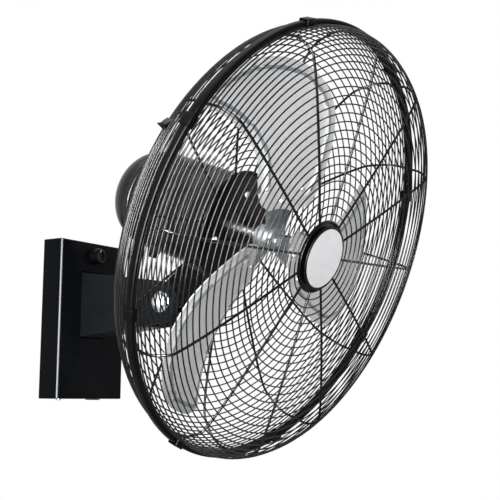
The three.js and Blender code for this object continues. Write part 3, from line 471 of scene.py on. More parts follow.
# Painted shade: a dark bluish grey that stands in for the shade and dark reflection along the blades'
# pressed rib.
RIB_PAINTED_SHADE = BrushedFinish(
    "blade_rib_painted_shade", "blade_aluminium", (0.27, 0.30, 0.33), (0.34, 0.37, 0.40),
    roughness=0.36, rough_spread=0.07, metallic=0.5, grain_height=0.08, grain_depth=0.00008,
)
CAST_METAL = Finish(
    "hub_aluminium_casting", "blade_aluminium", (0.13, 0.155, 0.165), (0.20, 0.225, 0.235),
    roughness=0.45, rough_spread=0.08, metallic=0.6, patch_scale=40.0, grain_scale=500.0,
    grain_height=0.12, edge_colour=(0.8, 0.8, 0.8), edge_amount=0.4,
)
ZINC_PLATE = BrushedFinish(
    "zinc_plated_steel", "zinc_steel", (0.62, 0.64, 0.65), (0.74, 0.75, 0.76),
    roughness=0.3, rough_spread=0.08, metallic=1.0, line_scale=400.0, line_stretch=0.4,
)
GROUND_STEEL = BrushedFinish(
    "ground_steel", "bright_steel", (0.48, 0.49, 0.5), (0.6, 0.61, 0.62),
    roughness=0.28, rough_spread=0.08, metallic=1.0, line_scale=500.0, line_stretch=0.2,
)
LAMINATION = BrushedFinish(
    "laminated_core", "lamination", (0.16, 0.17, 0.18), (0.28, 0.29, 0.31),
    roughness=0.5, rough_spread=0.1, metallic=0.9, line_scale=600.0, line_stretch=3.0,
)
DISC_SILVER = BrushedFinish(
    "badge_disc_satin", "silver_disc", (0.78, 0.785, 0.80), (0.85, 0.855, 0.865),
    roughness=0.42, rough_spread=0.05, metallic=0.35, line_scale=320.0, line_stretch=0.05,
)
BLACK_PLASTIC = Finish(
    "black_moulded_plastic", "black_plastic", (0.006, 0.0065, 0.0075), (0.008, 0.0085, 0.0095),
    roughness=0.34, rough_spread=0.05, specular=0.4, ior=1.18, grain_scale=1200.0, grain_height=0.08,
)
KNOB_PLASTIC = Finish(
    "knob_gloss_plastic", "black_plastic", (0.003, 0.0033, 0.004), (0.004, 0.0043, 0.005),
    roughness=0.16, rough_spread=0.03, specular=0.5, ior=1.16, grain_scale=900.0, grain_height=0.03,
)
WHITE_PLASTIC = Finish(
    "white_moulded_plastic", "white_plastic", (0.68, 0.66, 0.6), (0.74, 0.72, 0.66),
    roughness=0.5, rough_spread=0.05, specular=0.35, grain_scale=1100.0, grain_height=0.08,
)
POINTER_GREY = Finish(
    "pointer_grey_paint", "white_plastic", (0.22, 0.22, 0.22), (0.28, 0.28, 0.28),
    roughness=0.45, rough_spread=0.05, specular=0.4, grain_scale=1500.0,
)


# ---------------------------------------------------------------- drawing meshes

Profile = Sequence[tuple[float, float]]


@dataclass
class Sketch:
    """A mesh in the making, in millimetres."""

    verts: list[Vector] = field(default_factory=list)
    faces: list[tuple[int, ...]] = field(default_factory=list)

    def add(self, other: "Sketch", matrix: Matrix = ROOM_FRAME) -> "Sketch":
        """Take in a copy of another sketch, moved by a matrix.

        Args:
            other: the sketch that is copied.
            matrix: from its frame to this one's.

        Returns:
            The sketch itself.
        """
        start = len(self.verts)
        self.verts.extend(matrix @ v for v in other.verts)
        self.faces.extend(tuple(i + start for i in face) for face in other.faces)
        return self

    def turn(
        self,
        profile: Profile,
        sides: int,
        closed: bool = False,
        flute: Callable[[float, float], float] | None = None,
    ) -> "Sketch":
        """Add a body of revolution about the fan's axis.

        Args:
            profile: points of (radius, forward); a radius of 0 is a pole.
            sides: how many sides the body has.
            closed: whether the profile's end joins its start.
            flute: what to add to a radius, from its forward place and its angle in degrees.

        Returns:
            The sketch itself.
        """
        rows: list[list[int]] = []
        for radius, forward in profile:
            start = len(self.verts)
            if radius <= 0.0:
                self.verts.append(Vector((0.0, -forward, 0.0)))
                rows.append([start])
                continue
            for k in range(sides):
                degrees = 360.0 * k / sides
                extra = flute(forward, degrees) if flute else 0.0
                self.verts.append(place(radius + extra, degrees, forward))
            rows.append(list(range(start, start + sides)))
        pairs = list(zip(rows, rows[1:]))
        if closed:
            pairs.append((rows[-1], rows[0]))
        for low, high in pairs:
            self._bridge(low, high)
        return self

    def _bridge(self, low: list[int], high: list[int]) -> None:
        """Faces between two closed rows, either of which may be a single pole.

        Args:
            low: the first row's vertices, in order.
            high: the second row's, as many or a single pole.
        """
        count = max(len(low), len(high))
        if count == 1:
            return
        for k in range(count):
            n = (k + 1) % count
            if len(low) == 1:
                self.faces.append((low[0], high[k], high[n]))
            elif len(high) == 1:
                self.faces.append((low[k], high[0], low[n]))
            else:
                self.faces.append((low[k], high[k], high[n], low[n]))

    def wire_ring(self, radius: float, forward: float, wire: float, sides: int) -> "Sketch":
        """Add a ring of round wire about the fan's axis; wire is its diameter.

        Args:
            radius: the ring's radius to the middle of its wire.
            forward: where the ring lies.
            wire: the wire's diameter.
            sides: how many sides the ring has.

        Returns:
            The sketch itself.
        """
        half = wire / 2.0
        round_wire = [
            (radius + half * math.cos(math.tau * k / 8), forward + half * math.sin(math.tau * k / 8))
            for k in range(8)
        ]
        return self.turn(round_wire, sides, closed=True)

    def wire(self, points: Sequence[Vector], wire: float, sides: int = 8) -> "Sketch":
        """Add a round wire along points, with closed ends; wire is its diameter.

        Args:
            points: the wire's middle line.
            wire: its diameter.
            sides: how many sides its section has.

        Returns:
            The sketch itself.
        """
        half = wire / 2.0
        rows: list[list[int]] = []
        across = Vector((1.0, 0.0, 0.0))
        for k, point in enumerate(points):
            ahead = points[min(k + 1, len(points) - 1)] - points[max(k - 1, 0)]
            ahead.normalize()
            across = (across - ahead * across.dot(ahead)).normalized()
            up = ahead.cross(across)
            start = len(self.verts)
            for n in range(sides):
                angle = math.tau * n / sides
                self.verts.append(
                    point + across * (half * math.cos(angle)) + up * (half * math.sin(angle))
                )
            rows.append(list(range(start, start + sides)))
        for low, high in zip(rows, rows[1:]):
            self._bridge(low, high)
        self.faces.append(tuple(rows[0]))
        self.faces.append(tuple(reversed(rows[-1])))
        return self

    def block(self, low: Sequence[float], high: Sequence[float]) -> "Sketch":
        """Add a box between two corners.

        Args:
            low: the corner with the least x, y and z.
            high: the corner opposite to it.

        Returns:
            The sketch itself.
        """
        start = len(self.verts)
        for x in (low[0], high[0]):
            for y in (low[1], high[1]):
                for z in (low[2], high[2]):
                    self.verts.append(Vector((x, y, z)))
        for face in ((0, 1, 3, 2), (4, 6, 7, 5), (0, 4, 5, 1), (2, 3, 7, 6), (0, 2, 6, 4), (1, 5, 7, 3)):
            self.faces.append(tuple(i + start for i in face))
        return self

    def prism(self, outline: Sequence[tuple[float, float]], low: float, high: float) -> "Sketch":
        """Add a plate whose outline is in (y, z), between two places along X.

        Args:
            outline: the plate's corners in (y, z), in order.
            low: where it starts along X.
            high: where it ends.

        Returns:
            The sketch itself.
        """
        start, count = len(self.verts), len(outline)
        for x in (low, high):
            self.verts.extend(Vector((x, y, z)) for y, z in outline)
        self.faces.append(tuple(range(start, start + count)))
        self.faces.append(tuple(range(start + 2 * count - 1, start + count - 1, -1)))
        for k in range(count):
            n = (k + 1) % count
            self.faces.append((start + k, start + n, start + count + n, start + count + k))
        return self


def plate(
    outline: Profile, hole: tuple[float, float, float] | None, low: float, high: float, edge: float
) -> Sketch:
    """A flat plate with rounded edges and at most one round hole.

    Args:
        outline: its outline in (y, z).
        hole: the hole's middle and radius, as (y, z, radius).
        low: where the plate starts along X.
        high: where it ends.
        edge: the radius of its edges.

    Returns:
        The plate as a sketch.
    """
    curve = bpy.data.curves.new("plate_outline", "CURVE")
    curve.dimensions = "2D"
    curve.fill_mode = "BOTH"
    curve.extrude = (high - low) / 2 - edge
    curve.bevel_depth = edge
    curve.bevel_resolution = 2
    curve.offset = -edge
    loops = [list(outline)]
    if hole is not None:
        y, z, radius = hole
        loops.append([
            (y + radius * math.cos(math.tau * k / 32), z + radius * math.sin(math.tau * k / 32))
            for k in range(32)
        ])
    for loop in loops:
        spline = curve.splines.new("POLY")
        spline.points.add(len(loop) - 1)
        spline.points.foreach_set("co", [c for y, z in loop for c in (y, z, 0.0, 1.0)])
        spline.use_cyclic_u = True
    holder = bpy.data.objects.new("plate_outline", curve)
    bpy.context.scene.collection.objects.link(holder)
    bpy.context.view_layer.update()
    filled = holder.evaluated_get(bpy.context.evaluated_depsgraph_get()).to_mesh()
    middle = (low + high) / 2
    made = Sketch()
    made.verts = [Vector((middle + v.co.z, v.co.x, v.co.y)) for v in filled.vertices]
    made.faces = [tuple(polygon.vertices) for polygon in filled.polygons]
    bpy.data.objects.remove(holder)
    bpy.data.curves.remove(curve)
    return made


@dataclass
class Piece:
    """One visible piece: where it rides, what it stands for and how it is dressed."""

    name: str
    body: Body
    finish: Finish
    replaces: tuple[str, ...] = ()
    bevel: float = 0.0
    crease: float = 38.0

    def make(self, sketch: Sketch, matrix: Matrix = ROOM_FRAME) -> bpy.types.Object:
        """Make the object from a sketch.

        Args:
            sketch: the shape, in millimetres.
            matrix: from the sketch's frame to the room, in millimetres.

        Returns:
            The object, riding on its body.
        """
        mesh = bpy.data.meshes.new(self.name)
        points = [(matrix @ v) * MM for v in sketch.verts]
        mesh.from_pydata([tuple(p) for p in points], [], sketch.faces)
        mesh.validate()
        self._clean(mesh)
        obj = bpy.data.objects.new(self.name, mesh)
        bpy.context.scene.collection.objects.link(obj)
        if self.bevel > 0.0:
            self._soften(obj)
        return self.dress(obj)

    def dress(self, obj: bpy.types.Object) -> bpy.types.Object:
        """Shade an object, give it its finish and tie it to the frame.

        Args:
            obj: the object that is dressed.

        Returns:
            The same object.
        """
        mesh = obj.data
        for polygon in mesh.polygons:
            polygon.use_smooth = True
        mesh.set_sharp_from_angle(angle=math.radians(self.crease))
        mesh.materials.clear()
        mesh.materials.append(self.finish.material())
        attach(obj, self.body.value)
        if self.replaces:
            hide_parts(*self.replaces)
        LOG.info("%s: %d faces on %s", self.name, len(mesh.polygons), self.body.value)
        return obj

    @staticmethod
    def _clean(mesh: bpy.types.Mesh) -> None:
        """Weld what coincides and turn all faces outwards.

        Args:
            mesh: the mesh that is cleaned.
        """
        work = bmesh.new()
        work.from_mesh(mesh)
        bmesh.ops.remove_doubles(work, verts=work.verts, dist=WELD_DISTANCE)
        bmesh.ops.recalc_face_normals(work, faces=work.faces)
        work.to_mesh(mesh)
        work.free()

    def _soften(self, obj: bpy.types.Object) -> None:
        """Round the object's sharp edges and keep the result as its mesh.

        Args:
            obj: the object whose edges are rounded.
        """
        modifier = obj.modifiers.new("soft_edges", "BEVEL")
        modifier.width = self.bevel * MM
        modifier.segments = 3
        modifier.limit_method = "ANGLE"
        modifier.angle_limit = BEVEL_FROM
        modifier.use_clamp_overlap = True
        keep_shape(obj)


def keep_shape(obj: bpy.types.Object) -> None:
    """Turn an object's modifiers into its mesh.

    Args:
        obj: the object whose modifiers are applied.
    """
    bpy.context.view_layer.update()
    graph = bpy.context.evaluated_depsgraph_get()
    made = bpy.data.meshes.new_from_object(obj.evaluated_get(graph))
    obj.modifiers.clear()
    old = obj.data
    obj.data = made
    made.name = old.name + "_kept"
    bpy.data.meshes.remove(old)


def carve(sketch_object: bpy.types.Object, cutter: Sketch, matrix: Matrix = ROOM_FRAME) -> None:
    """Cut a sketch out of an object.

    Args:
        sketch_object: the object that loses material.
        cutter: the shape to take away, in millimetres.
        matrix: from the cutter's frame to the room, in millimetres.
    """
    mesh = bpy.data.meshes.new("cutter")
    mesh.from_pydata([tuple((matrix @ v) * MM) for v in cutter.verts], [], cutter.faces)
    Piece._clean(mesh)
    tool = bpy.data.objects.new("cutter", mesh)
    bpy.context.scene.collection.objects.link(tool)
    modifier = sketch_object.modifiers.new("carved", "BOOLEAN")
    modifier.operation = "DIFFERENCE"
    modifier.solver = "EXACT"
    modifier.object = tool
    keep_shape(sketch_object)
    bpy.data.objects.remove(tool)
    bpy.data.meshes.remove(mesh)


def repaint(finish: Finish, *names: str) -> None:
    """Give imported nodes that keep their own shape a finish.

    Args:
        finish: the finish that they get.
        names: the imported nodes.
    """
    for name in names:
        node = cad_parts[name]
        node.data.materials.clear()
        node.data.materials.append(finish.material())
        LOG.info("%s: packed node in %s", name, finish.name)


ALONG_X = Matrix.Rotation(math.radians(-90.0), 4, "Z")
ALONG_Z = Matrix.Rotation(math.radians(90.0), 4, "X")
ALONG_Z_UP = Matrix.Rotation(math.radians(-90.0), 4, "X")


def dome(radius: float, height: float, start: float, steps: int = 6) -> list[tuple[float, float]]:
    """A rounded end of a turned body.

    Args:
        radius: its radius where it starts.
        height: how far it rises.
        start: the forward place where it starts.
        steps: how many steps it has.

    Returns:
        Profile points of (radius, forward), ending at the axis.
    """
    points = []
    for k in range(steps + 1):
        angle = math.pi / 2 * k / steps
        points.append((radius * math.cos(angle) if k < steps else 0.0, start + height * math.sin(angle)))
    return points


def drill(radius: float, start: float, stop: float, sides: int = 32) -> Sketch:
    """A round or six-sided tool for cutting a hole along the axis.

    Args:
        radius: the hole's radius.
        start: where it begins.
        stop: where it ends.
        sides: how many sides it has.

    Returns:
        The tool as a sketch.
    """
    return Sketch().turn([(0.0, start), (radius, start), (radius, stop), (0.0, stop)], sides)


def screw_sketch(shank: float, length: float, head: float, height: float) -> Sketch:
    """A screw along the axis with a domed head in front.

    Args:
        shank: the shank's radius.
        length: how far the shank reaches behind the head.
        head: the head's radius.
        height: the head's height.

    Returns:
        The screw as a sketch.
    """
    profile = [(0.0, -length), (shank * 0.8, -length), (shank, -length + 0.6), (shank, 0.0), (head, 0.0)]
    profile += [(head, height * 0.35), *dome(head * 0.98, height * 0.6, height * 0.4, 5)]
    return Sketch().turn(profile, 28)


def cross_recess(size: float, depth: float, front: float) -> Sketch:
    """The cross-shaped tool that cuts a screw's recess.

    Args:
        size: half the cross's width.
        depth: how deep the recess is.
        front: where the head's top lies.

    Returns:
        The cutter as one closed body.
    """
    arm = size * 0.3
    corners = [
        (arm, size), (-arm, size), (-arm, arm), (-size, arm), (-size, -arm), (-arm, -arm),
        (-arm, -size), (arm, -size), (arm, -arm), (size, -arm), (size, arm), (arm, arm),
    ]
    bar = Sketch().prism(corners, -front - 3.0, -front + depth)
    return Sketch().add(bar, Matrix.Rotation(math.radians(90.0), 4, "Z"))


# ---------------------------------------------------------------- wall box


@dataclass
class WallBox:
    """The pressed cover on the wall, with what shows at its edges."""

    width: float = 136.8
    height: float = 228.6
    depth: float = 35.5
    wall: float = 2.0
    edge: float = 3.2
    slot_half: float = 25.3
    slot_low: float = -26.8
    slot_high: float = 70.6
    bushing_z: float = 94.5
    bushing_hole: float = 5.0
    gland: tuple[float, float] = (24.0, 18.0)
    gland_hole: float = 7.7
    cover_screw: tuple[float, float] = (42.0, 13.0)

    def build(self) -> None:
        """Make the cover, its screws, the cord gland and the back plate's finish."""
        self._cover()
        self._screws()
        self._gland()
        repaint(ZINC_PLATE, "back_plate", *(f"arm_bolt_{k}" for k in (1, 2, 3, 4)))
        repaint(WHITE_PLASTIC, "run_capacitor", "terminal_block")
        repaint(BLACK_PLASTIC, "speed_switch")

    def _corners(self, inset: float, radius: float, steps: int) -> list[tuple[float, float]]:
        """A rounded rectangle in (x, z), as points in order.

        Args:
            inset: how far it lies inside the box's outline.
            radius: the corners' radius.
            steps: how many steps each corner has.

        Returns:
            The points, going round once.
        """
        half_x, half_z = self.width / 2 - inset, self.height / 2 - inset
        points = []
        for turn, (sx, sz) in enumerate(((1, 1), (-1, 1), (-1, -1), (1, -1))):
            for k in range(steps + 1):
                angle = math.radians(90.0 * turn + 90.0 * k / steps)
                x = sx * (half_x - radius) + radius * math.cos(angle)
                z = sz * (half_z - radius) + radius * math.sin(angle)
                points.append((x, z))
        return points

    def _shell(self, inset: float, front: float, edge: float) -> list[list[Vector]]:
        """Rows of points up the side wall and over the rounded edge, to the face's rim.

        Args:
            inset: how far the shell lies inside the box's outline.
            front: how far it reaches from the wall.
            edge: the radius of the edge beside the face.

        Returns:
            The rows of points, from the wall to the face.
        """
        rows = []
        steps = 5
        for y in (0.0, front - edge):
            rows.append([Vector((x, -y, z)) for x, z in self._corners(inset, 1.4, steps)])
        for k in range(1, 6):
            angle = math.pi / 2 * k / 5
            drop = edge * (1.0 - math.cos(angle))
            y = front - edge + edge * math.sin(angle)
            radius = max(1.4 - drop, 0.05)
            rows.append([Vector((x, -y, z)) for x, z in self._corners(inset + drop, radius, steps)])
        return rows

    def _cover(self) -> None:
        """The pan: rounded at its folded edges, open at the back, with its slot and holes."""
        outside = self._shell(0.0, self.depth, self.edge)
        inside = self._shell(self.wall, self.depth - self.wall, self.edge - 1.2)
        sketch = Sketch()
        rows = [*reversed(inside), *outside]
        index = []
        for row in rows:
            start = len(sketch.verts)
            sketch.verts.extend(row)
            index.append(list(range(start, start + len(row))))
        for low, high in zip(index, index[1:]):
            sketch._bridge(low, high)
        sketch.faces.append(tuple(index[0]))
        sketch.faces.append(tuple(reversed(index[-1])))
        piece = Piece("wall_box_cover", Body.BRACKET, GLOSS_BLACK, ("box_cover",), crease=24.0)
        obj = piece.make(sketch)
        carve(obj, Sketch().block(
            (-self.slot_half, -self.depth - 5.0, self.slot_low), (self.slot_half, -self.wall, self.slot_high)
        ))
        carve(obj, drill(self.bushing_hole, 20.0, 45.0), Matrix.Translation((0.0, 0.0, self.bushing_z)))
        x, y = self.gland
        carve(obj, drill(self.gland_hole, 90.0, 130.0), Matrix.Translation((x, -y, 0.0)) @ ALONG_Z)
        piece.dress(obj)
        self._paint_fold_highlight(obj)

    def _paint_fold_highlight(self, obj: bpy.types.Object) -> None:
        """Paint a highlight on the rounded upright folds beside the face: a narrow strip of lighter,
        glossier paint.

        Args:
            obj: the finished cover.
        """
        mesh = obj.data
        mesh.materials.append(FOLD_PAINTED_HIGHLIGHT.material())
        side = (self.width / 2 - self.edge) * MM
        front = -(self.depth - self.edge) * MM
        for polygon in mesh.polygons:
            middle, normal = polygon.center, polygon.normal
            on_fold = abs(middle.x) > side and middle.y < front and 0.3 < abs(normal.x) < 0.95
            polygon.material_index = 1 if on_fold and abs(normal.y) > 0.3 else 0

    def _screws(self) -> None:
        """The two screws that hold the cover, one at its top and one at its bottom."""
        across, deep = self.cover_screw
        for number, side in enumerate((1.0, -1.0), start=1):
            turn = ALONG_Z if side < 0 else ALONG_Z @ Matrix.Rotation(math.pi, 4, "X")
            spot = Matrix.Translation((side * across, -deep, side * (self.height / 2 + 0.3)))
            piece = Piece(f"cover_screw_head_{number}", Body.BRACKET, ZINC_PLATE, (f"cover_screw_{number}",))
            obj = piece.make(screw_sketch(2.0, 8.0, 4.0, 2.2), spot @ turn)
            carve(obj, cross_recess(2.2, 1.6, 2.2), spot @ turn)
            piece.dress(obj)

    def _gland(self) -> None:
        """The lead's gland under the box: a ribbed collar with a bore."""
        x, y = self.gland
        wall_out = self.height / 2 + 0.3
        bore, neck, collar = 4.0, 7.4, 10.9
        profile = [
            (bore, 106.0), (neck, 106.0), (neck, wall_out), (collar, wall_out), (collar, wall_out + 0.6),
            (collar - 0.7, wall_out + 1.1), (neck - 0.6, wall_out + 1.3), (bore + 0.5, wall_out + 1.3),
            (bore, wall_out + 0.9),
        ]

        def ribs(forward: float, degrees: float) -> float:
            """Grip ribs round the collar."""
            on_collar = wall_out <= forward <= wall_out + 0.7
            return -0.5 * (0.5 + 0.5 * math.cos(math.radians(degrees * 18))) if on_collar else 0.0

        sketch = Sketch().turn(profile, 108, closed=True, flute=ribs)
        piece = Piece("cord_gland_collar", Body.BRACKET, BLACK_PLASTIC, ("cord_gland",))
        piece.make(sketch, Matrix.Translation((x, -y, 0.0)) @ ALONG_Z)


# ---------------------------------------------------------------- speed control


@dataclass
class SpeedControl:
    """The fluted knob on the box's face, with the nut behind it."""

    z: float = 94.5
    radius: float = 12.5
    back: float = 36.7
    height: float = 11.5
    flutes: int = 20
    bushing_front: float = 38.9

    def build(self) -> None:
        """Make the knob with its pointer, and dress the nut."""
        front = self.back + self.height
        spindle, recess, floor = 3.0, 9.0, self.bushing_front + 0.3
        profile = [
            (0.0, 27.5), (spindle, 27.5), (spindle, floor), (recess, floor),
            (recess, self.back), (self.radius - 0.4, self.back), (self.radius, self.back + 0.5),
            (self.radius, self.back + 2.6), (self.radius - 0.7, self.back + 3.0),
            (self.radius - 1.0, front - 2.2), (self.radius - 1.5, front - 0.9),
            (self.radius - 2.6, front - 0.2), (self.radius - 3.8, front), (self.radius - 5.2, front - 0.5),
            (4.0, front - 0.9), (0.0, front - 1.0),
        ]

        def grip(forward: float, degrees: float) -> float:
            """Shallow flutes round the knob's skirt."""
            along = smooth_step((forward - self.back - 2.8) / 1.2)
            along *= smooth_step((front - 0.5 - forward) / 1.5)
            return -0.55 * along * (0.5 + 0.5 * math.cos(math.radians(degrees * self.flutes)))

        spot = Matrix.Translation((0.0, 0.0, self.z))
        knob = Piece("speed_knob_cap", Body.KNOB, KNOB_PLASTIC, ("speed_knob",), crease=30.0)
        knob.make(Sketch().turn(profile, 160, flute=grip), spot)
        line = Sketch().block((-0.45, -front - 0.3, 5.6), (0.45, -front + 1.4, self.radius - 2.6))
        Piece("speed_knob_pointer", Body.KNOB, POINTER_GREY, bevel=0.2).make(line, spot)
        repaint(ZINC_PLATE, "switch_nut")


# ---------------------------------------------------------------- arm and pivot


@dataclass
class ArmBracket:
    """The tapered arm: two cheeks with round ends, joined by a top and a bottom web."""

    reach: float = 183.4
    pivot_z: float = 19.2
    width: float = 50.0
    wall: float = 3.0
    box_depth: float = 35.5
    top_at_box: float = 68.6
    bottom_at_box: float = -24.8
    end_radius: float = 29.0
    web_stop: float = 150.4
    foot_front: float = 7.3
    back: float = 3.3
    foot_half: float = 48.0
    foot_low: float = -62.0
    foot_high: float = 76.0
    bore: float = 5.3

    def _slopes(self) -> tuple[float, float]:
        """How fast the arm's top and bottom spread towards the box."""
        span = self.reach - self.box_depth
        top = (self.top_at_box - self.pivot_z - self.end_radius) / span
        bottom = (self.pivot_z - self.end_radius - self.bottom_at_box) / span
        return top, bottom

    def _edge(self, forward: float, upper: bool) -> float:
        """The height of the arm's top or bottom edge at a distance from the wall.

        Args:
            forward: the distance from the wall.
            upper: whether the top edge is meant.

        Returns:
            The edge's height there.
        """
        top, bottom = self._slopes()
        if upper:
            return self.pivot_z + self.end_radius + (self.reach - forward) * top
        return self.pivot_z - self.end_radius - (self.reach - forward) * bottom

    def _cheek(self) -> list[tuple[float, float]]:
        """One cheek's outline in (y, z)."""
        points = [(-self.back, self._edge(self.back, False)), (-self.back, self._edge(self.back, True))]
        steps = 28
        for k in range(steps + 1):
            angle = math.pi / 2 + math.pi * k / steps
            points.append((
                -self.reach + self.end_radius * math.cos(angle),
                self.pivot_z + self.end_radius * math.sin(angle),
            ))
        return points

    def build(self) -> None:
        """Make the arm as one welded piece, drilled for the pivot."""
        half = self.width / 2
        sketch = Sketch()
        hole = (-self.reach, self.pivot_z, self.bore)
        for low, high in ((-half, -half + self.wall), (half - self.wall, half)):
            sketch.add(plate(self._cheek(), hole, low, high, 0.8))
        inner = half - self.wall
        start, stop = self.foot_front, self.web_stop
        for upper, sign in ((True, -1.0), (False, 1.0)):
            near, far = self._edge(start, upper), self._edge(stop, upper)
            outline = [
                (-start, near), (-stop, far), (-stop, far + sign * self.wall),
                (-start, near + sign * self.wall),
            ]
            sketch.add(plate(outline, None, -inner - 1.0, inner + 1.0, 0.3))
        foot = [(-self.foot_front, self.foot_low), (-self.foot_front, self.foot_high),
                (-self.back, self.foot_high), (-self.back, self.foot_low)]
        sketch.add(plate(foot, None, -self.foot_half, self.foot_half, 0.4))
        Piece("bracket_arm_shell", Body.BRACKET, ARM_BLACK, ("bracket_arm",)).make(sketch)


@dataclass
class PivotHardware:
    """The bolt that the head tilts about, with its washer and flanged nut."""

    arm_half: float = 25.0
    gap: float = 0.3
    shank: float = 5.0
    head: float = 12.0
    head_height: float = 7.0
    washer: float = 14.5
    washer_height: float = 1.8

    def build(self) -> None:
        """Make the three pieces on the pivot's axis."""
        spot = Matrix.Translation(PIVOT) @ ALONG_X
        seat = self.arm_half + 2 * self.gap + self.washer_height
        end = -self.arm_half - 12.0
        rise = self.head_height
        profile = [
            (0.0, end), (self.shank - 0.8, end), (self.shank, end + 0.8), (self.shank, seat),
            (self.head - 0.3, seat), (self.head, seat + 0.4), (self.head, seat + rise * 0.35),
            (self.head * 0.93, seat + rise * 0.6), (self.head * 0.78, seat + rise * 0.83),
            (self.head * 0.55, seat + rise * 0.97), (self.head * 0.42, seat + rise), (0.0, seat + rise),
        ]
        bolt = Piece("tilt_bolt_head", Body.BRACKET, ZINC_PLATE, ("tilt_bolt",), crease=30.0)
        obj = bolt.make(Sketch().turn(profile, 48), spot)
        carve(obj, drill(4.2, seat + 3.0, seat + 12.0, 6), spot)
        bolt.dress(obj)
        low, high = self.arm_half + self.gap, self.arm_half + self.gap + self.washer_height
        bore = self.shank + self.gap
        ring = [
            (bore, low), (self.washer - 0.3, low), (self.washer, low + 0.3), (self.washer, high - 0.5),
            (self.washer - 0.6, high), (bore + 0.3, high), (bore, high - 0.3),
        ]
        washer = Piece("tilt_washer_ring", Body.BRACKET, GROUND_STEEL, ("tilt_washer",), crease=30.0)
        washer.make(Sketch().turn(ring, 48, closed=True), spot)
        self._nut(spot)

    def _nut(self, spot: Matrix) -> None:
        """The flanged nut on the far side of the arm.

        Args:
            spot: the pivot's place and direction.
        """
        face = -self.arm_half - self.gap
        bore = self.shank + self.gap
        flange = [
            (bore, face - 2.0), (11.6, face - 2.0), (12.0, face - 1.6), (12.0, face - 0.3), (11.7, face),
            (bore, face),
        ]
        sketch = Sketch().turn(flange, 42, closed=True)
        hexagon = [
            (bore, face - 9.0), (8.6, face - 9.0), (9.5, face - 8.2), (9.5, face - 2.0), (bore, face - 2.0),
        ]
        sketch.turn(hexagon, 6, closed=True)
        Piece("tilt_nut_flanged", Body.BRACKET, ZINC_PLATE, ("tilt_nut",), crease=25.0).make(sketch, spot)


@dataclass
class TiltYoke:
    """The bent plate between the pivot and the motor's foot."""

    outside: float = 21.7
    thickness: float = 3.0
    radius: float = 21.0
    saddle_top: float = 58.1
    saddle_thickness: float = 4.0
    front: float = -60.1
    back: float = -14.1
    bore: float = 5.3
    bolt_spacing: float = 26.0

    def build(self) -> None:
        """Make the two ears with their saddle, and the bolts through it."""
        low = self.saddle_top - self.saddle_thickness
        outline = [(self.front, self.saddle_top), (self.front, low - 6.0)]
        steps = 20
        for k in range(steps + 1):
            angle = math.pi * (1.2 + 0.85 * k / steps)
            outline.append((self.radius * math.cos(angle), self.radius * math.sin(angle)))
        outline.append((self.back, self.saddle_top))
        sketch = Sketch()
        for start in (-self.outside, self.outside - self.thickness):
            sketch.add(plate(outline, (0.0, 0.0, self.bore), start, start + self.thickness, 0.7))
        inner = self.outside - self.thickness + 1.0
        saddle = [
            (self.front, low), (self.front, self.saddle_top), (self.back, self.saddle_top), (self.back, low),
        ]
        sketch.add(plate(saddle, None, -inner, inner, 0.6))
        Piece("tilt_yoke_plate", Body.HEAD, BAND_BLACK, ("tilt_yoke",)).make(sketch, PIVOT_FRAME)
        middle = (self.front + self.back) / 2
        for number, side in enumerate((-0.5, 0.5), start=1):
            seat = Matrix.Translation((0.0, middle + side * self.bolt_spacing, low - 0.3))
            bolt = Sketch().turn([(0.0, -7.5), (2.6, -7.5), (3.0, -7.0), (3.0, 0.4), (0.0, 0.4)], 24)
            bolt.turn([(0.0, 0.0), (6.0, 0.0), (6.0, 3.4), (5.3, 4.0), (0.0, 4.0)], 6)
            node = (f"yoke_bolt_{number}",)
            head = Piece(f"yoke_bolt_head_{number}", Body.HEAD, ZINC_PLATE, node, crease=25.0)
            head.make(bolt, PIVOT_FRAME @ seat @ ALONG_Z)


# ---------------------------------------------------------------- motor


